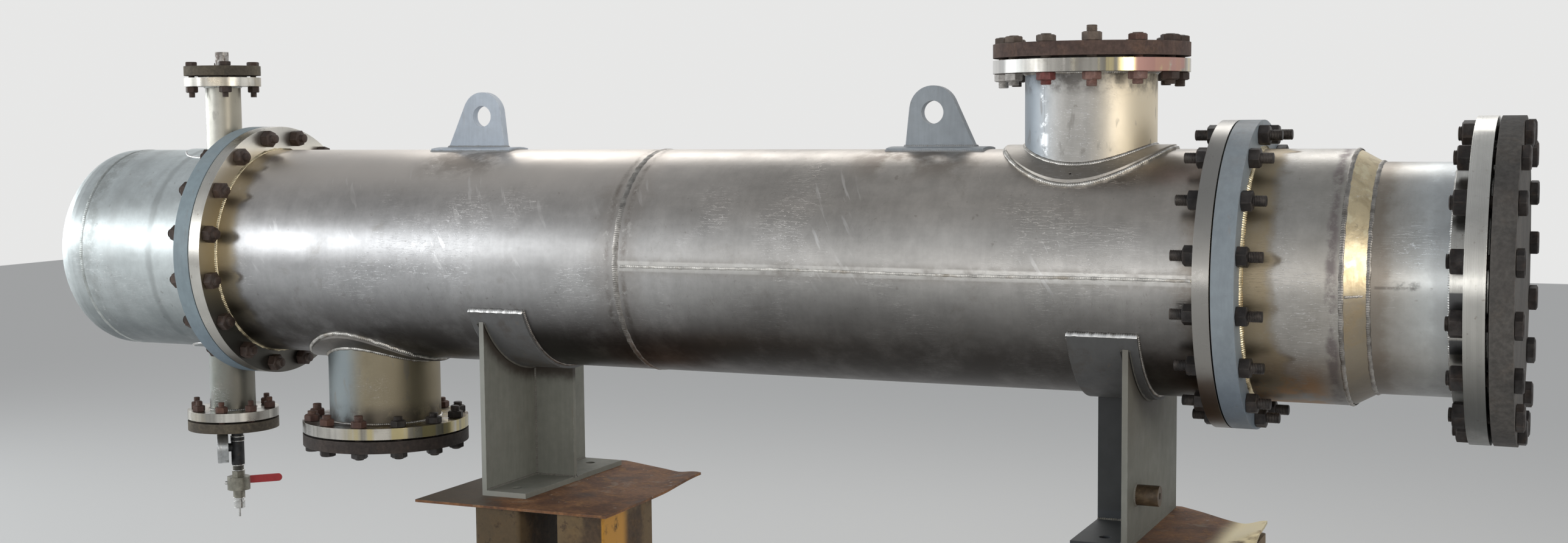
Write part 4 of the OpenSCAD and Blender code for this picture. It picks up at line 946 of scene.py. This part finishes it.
# Saddles; their wear pads are as thick as the nozzle pads
EDGE, WEB_EDGE = math.radians(25), math.radians(31) + 0.01
SIDES = ((-1, "near"), (1, "far"))
for label, x0, sgn in (("left", LEFT_SADDLE, 1), ("right", RIGHT_SADDLE, -1)):
    xa, xb, inner = x0 - sgn * 0.02, x0 + sgn * 0.123, x0 + sgn * 0.012
    for side, word in SIDES:
        y, z = side * (R + 0.004) * math.cos(EDGE), -(R + 0.004) * math.sin(EDGE)
        saddle_bead(f"{label}_pad_edge_weld_{word}", path(np.linspace(xa, xb, 8), y, z, 0, side * 0.35, 0.95),
                    0.013, 0.006, 51 + side, WHITE_WELD, "wear_pad_primer")
    for x, lean, word in ((xa, -sgn, "out"), (xb, sgn, "in")):
        saddle_bead(f"{label}_pad_arc_weld_{word}", arc_path(x, R, EDGE, lean, 1), 0.01, 0.004, 55 + lean,
                    DULL_WELD, "wear_pad_primer")
    for x, lean, word in ((x0, -sgn, "out"), (inner, sgn, "in")):
        saddle_bead(f"{label}_web_arc_weld_{word}", arc_path(x, R + PAD_T, WEB_EDGE, lean, -1),
                    0.01, 0.0045, 61 + lean)
    for side, word in SIDES:
        zs, xs = np.linspace(-0.524, -0.268, 12), np.linspace(x0 + sgn * 0.014, x0 + sgn * 0.116, 8)
        saddle_bead(f"{label}_rib_weld_{word}", path(inner, side * 0.006, zs, sgn, side, 0), 0.009, 0.004, 71 + side)
        saddle_bead(f"{label}_rib_foot_weld_{word}", path(xs, side * 0.006, FOOT_Z, 0, side, 1),
                    0.009, 0.004, 75 + side)
    saddle_bead(label + "_web_foot_weld", path(inner, np.linspace(-0.2235, 0.2235, 12), FOOT_Z, sgn, 0, 1),
                0.01, 0.0045, 81 + sgn)
c, s = circle(48)
bead("boss_weld", path(RIGHT_SADDLE, 0.021 * c - 0.15, 0.021 * s - 0.4385, 1, c, s), 0.008, 0.0035, PAINT_WELD,
     "boss_brown", 91)

# ---------------------------------------------------------------- pressure gauge
TEST_X = PIPE_X + 0.01
turned = math.radians(220)
face = Vector((math.cos(turned), math.sin(turned), 0))
right = Vector((-math.sin(turned), math.cos(turned), 0))
origin = Vector(P(TEST_X, 0, -0.52)) + face * 0.045


def on_dial(u, v, h):
    return tuple(origin + right * u + Vector((0, 0, 1)) * v + face * h)


def at_angle(degrees, points):
    """Places on the dial from distances along a direction, side steps and heights."""
    c, s = math.cos(math.radians(degrees)), math.sin(math.radians(degrees))
    return [on_dial(r * c - w * s, r * s + w * c, h) for r, w, h in points]


rings = [on_dial(r * c, r * s, 0.0003) for r in (0.0345, 0.017) for c, s in zip(*circle(64))]
piece("gauge_dial", rings, quads(2, 64) + ends(2, 64)[1:], DIAL, "gauge_case", smooth=False)
parts = []
for i in range(51):
    start, w = (0.0295, 0.00022) if i % 10 else (0.026, 0.0005)
    parts.append((at_angle(225 - 270 * i / 50, [(start, w, 0.0005), (0.0325, w, 0.0005), (0.0325, -w, 0.0005),
                                                (start, -w, 0.0005)]), [(0, 1, 2, 3)]))
for i in range(6):
    text = bpy.data.curves.new("number", "FONT")
    text.body, text.size, text.align_x, text.align_y = str(i * 2), 0.0062, "CENTER", "CENTER"
    holder = link("number", text)
    bpy.context.view_layer.update()
    flat = bpy.data.meshes.new_from_object(holder.evaluated_get(bpy.context.evaluated_depsgraph_get()))
    t = math.radians(225 - 54 * i)
    parts.append(([on_dial(0.0215 * math.cos(t) + v.co.x, 0.0215 * math.sin(t) + v.co.y, 0.0006)
                   for v in flat.vertices], [tuple(p.vertices) for p in flat.polygons]))
    bpy.data.objects.remove(holder)
    bpy.data.meshes.remove(flat)
    bpy.data.curves.remove(text)
needle = [(-0.008, 0.0009, 0.0016), (-0.008, -0.0009, 0.0016), (0.029, 0, 0.0016), (0, 0, 0.0022)]
parts.append((at_angle(225, needle), [(0, 1, 3), (1, 2, 3), (2, 0, 3)]))
piece("gauge_marks", *join(parts), PRINT, "gauge_case", smooth=False)
piece("gauge_hub", *lathe([(0.0032, 0), (0.0032, 0.0015), (0.0022, 0.0022)], 24, on_dial(0, 0, 0.0008), face), CASE,
      "gauge_case", sharp=40)
m = Mat("gauge_glass", (0.95, 0.97, 0.97), 0, 0.06)
m.bsdf.inputs["Transmission Weight"].default_value = 1
m.bsdf.inputs["IOR"].default_value = 1.2
m.set_rough(m.cloud(50, 4, 0.6, 0.5, 0.7), 0.16)
m.bump(m.noise(200, 2, 0.5), 0.005)
glass = [(0.0352, 0), (0.0352, 0.0012), (0.03, 0.0017), (0.012, 0.0019)]
piece("gauge_glass", *lathe(glass, 64, on_dial(0, 0, 0.0028), face), m.done(), "gauge_case", sharp=60)
bezel = [(0.0402, -0.0045), (0.0406, -0.003), (0.0406, 0.002), (0.0398, 0.0045), (0.038, 0.0056), (0.0362, 0.0048),
         (0.0352, 0.003)]
verts, faces = lathe(bezel, 72, on_dial(0, 0, 0), face)
piece("gauge_bezel", verts, faces[:-2], CASE, "gauge_case", sharp=50)

# Rings and collars of the test pipe
rings = [lathe([(r * 0.95, 0), (r, h * 0.3), (r, h * 0.7), (r * 0.95, h)], 40, P(TEST_X, 0, z)) for z, r, h in (
    (-0.4925, 0.0183, 0.0035), (-0.5035, 0.0183, 0.003), (-0.5675, 0.0175, 0.003), (-0.5815, 0.0172, 0.003),
    (-0.6545, 0.0158, 0.003), (-0.664, 0.0146, 0.0025), (-0.68, 0.0142, 0.0025))]
piece("test_pipe_rings", *join(rings), BRIGHT, "fitting_steel", sharp=40)
ridges = [lathe([(0.0136, 0), (0.0145, 0.0006), (0.0136, 0.0012)], 32, P(TEST_X, 0, -0.58 + 0.0019 * i))
          for i in range(7)]
piece("test_pipe_thread", *join(ridges), VALVE, "valve_brass", sharp=20)
stem = Vector((-math.sin(math.radians(45)), math.cos(math.radians(45)), 0))
piece("lever_nut", *nut(Vector(P(TEST_X, 0, -0.614)) + stem * 0.0392, stem, 0.019, 0.0065, 0.3), BRIGHT,
      "fitting_steel", sharp=35)
out = Vector((-0.76, -0.65, 0)).normalized()
piece("valve_plug", *lathe([(0.005, -0.004), (0.005, 0.003), (0.0042, 0.006), (0.002, 0.007)], 24,
                           Vector(P(TEST_X, 0, -0.613)) + out * 0.0285, out), BRIGHT, "fitting_steel", sharp=40)


# ---------------------------------------------------------------- shop stands
def plate_grid(x0, lf, lb, back, back_len, corner, bend, length=0.497, front=-0.322, skew=0.01, nx=44, ny=30):
    """A stand's top plate, 6 mm thick, with one cut corner; bend gives how far each place is lifted."""
    cut_at = 0.45
    columns = sorted({cut_at, *(i / nx for i in range(nx + 1))})
    n, rows = len(columns), ny + 1
    low = n * rows
    verts, faces = [], []
    for thick in (0, 0.006):
        for u in columns:
            start = Vector((lf, front)).lerp(Vector((length, front)), u)
            if u <= cut_at:
                end = Vector((lb, back)).lerp(Vector((back_len, back)), u / cut_at)
            else:
                end = Vector((back_len, back)).lerp(Vector((length - skew, corner)), (u - cut_at) / (1 - cut_at))
            for j in range(rows):
                at = start.lerp(end, j / ny)
                verts.append(P(x0 + at.x, at.y, STAND_Z + bend(at.x, at.y) - thick))
    for i in range(n - 1):
        for j in range(ny):
            a, b = i * rows + j, (i + 1) * rows + j
            faces += [(a, b, b + 1, a + 1), (low + a, low + a + 1, low + b + 1, low + b)]
    rim = [i * rows for i in range(n)] + [(n - 1) * rows + j for j in range(1, rows)]
    rim += [i * rows + ny for i in range(n - 2, -1, -1)] + list(range(ny - 1, 0, -1))
    return verts, faces + [(a, low + a, low + b, b) for a, b in zip(rim, rim[1:] + rim[:1])]


def soft(x, a, b):
    t = min(1, max(0, (x - a) / (b - a)))
    return t * t * (3 - 2 * t)


def left_bend(x, y):
    lift = 0.009 * soft(x, 0.4, 0.497) * soft(y, -0.04, 0.16)
    return lift + 0.0022 * math.sin(x * 41 + y * 9) * soft(x, 0.36, 0.45) * soft(y, -0.1, 0.05)


def right_bend(x, y):
    lift = 0.017 * soft(x, 0.425, 0.492) * soft(y, -0.115, -0.02)
    return lift + 0.003 * math.sin(x * 37 + y * 21) * soft(x, 0.3, 0.42) * soft(y, -0.05, 0.1)


LEFT_STAND, RIGHT_STAND = 0.646, 2.006
tops = [plate_grid(LEFT_STAND, 0, 0, 0.285, 0.217, 0.165, left_bend),
        plate_grid(RIGHT_STAND, 0.142, 0.146, 0.24, 0.274, 0.074, right_bend)]
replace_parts(piece("stand_tops", *join(tops), STOOL_TOP, "stool_top_rust", sharp=40), "stool_tops")


def rounded_square(x0, y0, x1, y1, z, radius):
    """Points round a rectangle with rounded corners at height z."""
    for cx, cy, start in ((x1 - radius, y0 + radius, -90), (x1 - radius, y1 - radius, 0),
                          (x0 + radius, y1 - radius, 90), (x0 + radius, y0 + radius, 180)):
        for k in range(6):
            a = math.radians(start + 18 * k)
            yield P(cx + radius * math.cos(a), cy + radius * math.sin(a), z)


def leg(x, y, deep=0.118, wide=0.118):
    """A square leg with rounded corners on a foot plate 12 mm thick."""
    foot = [(-AXIS_Z, 0), (-AXIS_Z + 0.011, 0), (-AXIS_Z + 0.012, 0.001)]
    post = [(-AXIS_Z + 0.012, 0), (STAND_Z - 0.0062, 0)]
    return [tube([list(rounded_square(x + inset, y + inset, x + wide - inset, y + deep - inset, z, radius))
                  for z, inset in levels]) for radius, levels in ((0.003, foot), (0.01, post))]


legs = leg(2.374, -0.048)
for x0, back in ((LEFT_STAND, 0.285), (RIGHT_STAND, 0.24)):
    legs += leg(x0 + 0.156, -0.318, 0.238) + leg(x0 + 0.368, -0.318, 0.238) + leg(x0 + 0.156, back - 0.145)
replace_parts(piece("stand_legs", *join(legs), STOOL_POST, "stool_post_rust", sharp=30), "stool_posts")

# ---------------------------------------------------------------- camera, stage and light
cam = bpy.data.cameras.new("camera")
cam.sensor_width, cam.lens, cam.clip_start, cam.clip_end = 36, 43.112, 0.1, 100
yaw, pitch, roll = 0.4184, 0.0821, -0.0086
fwd = Vector((-math.sin(yaw) * math.cos(pitch), math.cos(yaw) * math.cos(pitch), -math.sin(pitch)))
side = Vector((math.cos(yaw), math.sin(yaw), 0))
up = side.cross(fwd)
turn = Matrix((side * math.cos(roll) + up * math.sin(roll), -side * math.sin(roll) + up * math.cos(roll), -fwd))
scene = bpy.context.scene
scene.camera = link("camera", cam)
scene.camera.matrix_world = Matrix.Translation(P(3.1422, -3.8491, 0.326)) @ turn.transposed().to_4x4()
scene.view_settings.view_transform = "Standard"

floor_look = bpy.data.materials.new("floor_look")
floor_look.use_nodes = True
for key, value in (("Base Color", (0.76, 0.76, 0.755, 1)), ("Roughness", 0.9), ("Specular IOR Level", 0.1)):
    floor_look.node_tree.nodes["Principled BSDF"].inputs[key].default_value = value
FAR = 14
mesh("floor", [(-FAR, -FAR, 0), (FAR, -FAR, 0), (FAR, FAR, 0), (-FAR, FAR, 0)], [(0, 1, 2, 3)], floor_look)

# One pale studio surrounds everything: palest at the horizon, a soft grey overhead
world = bpy.data.worlds.new("studio")
scene.world = world
world.use_nodes = True
nodes, links = world.node_tree.nodes, world.node_tree.links
coords, split, ramp = (nodes.new("ShaderNode" + kind) for kind in ("TexCoord", "SeparateXYZ", "ValToRGB"))
links.new(coords.outputs["Generated"], split.inputs[0])
links.new(split.outputs[2], ramp.inputs[0])
links.new(ramp.outputs[0], nodes["Background"].inputs[0])
nodes["Background"].inputs[1].default_value = 1
tones = ramp.color_ramp
tones.interpolation = "EASE"
tones.elements[0].position, tones.elements[0].color = 0.1, (0.8, 0.8, 0.795, 1)
tones.elements[1].position, tones.elements[1].color = 0.75, (0.36, 0.37, 0.38, 1)


def lamp(name, place, target, size, power, color):
    data = bpy.data.lights.new(name, "AREA")
    data.shape, data.energy, data.color = "RECTANGLE", power, color
    data.size, data.size_y = size
    obj = link(name, data)
    obj.location = place
    obj.rotation_euler = (Vector(target) - Vector(place)).to_track_quat("-Z", "Y").to_euler()


lamp("key", (-4.75, -4, 2.3), (-1.1, 0, 1.2), (2.5, 1.5), 46, (0.95, 0.98, 1))
lamp("window", (1.2, -7, 1.55), (0.8, 0, 1.2), (5.5, 0.35), 24, (1, 0.99, 0.97))
lamp("top", (-0.6, 2.7, 3.7), (-0.5, 0, 1.2), (4.8, 1.3), 42, (1, 0.98, 0.95))
lamp("door", (-6.3, -0.7, 1.85), (-1.7, 0, 1.2), (4.4, 2.2), 72, (0.93, 0.98, 1))
lamp("warm", (5, -2.6, 2), (1.2, 0, 1.1), (1.2, 1.8), 40, (1, 0.93, 0.83))
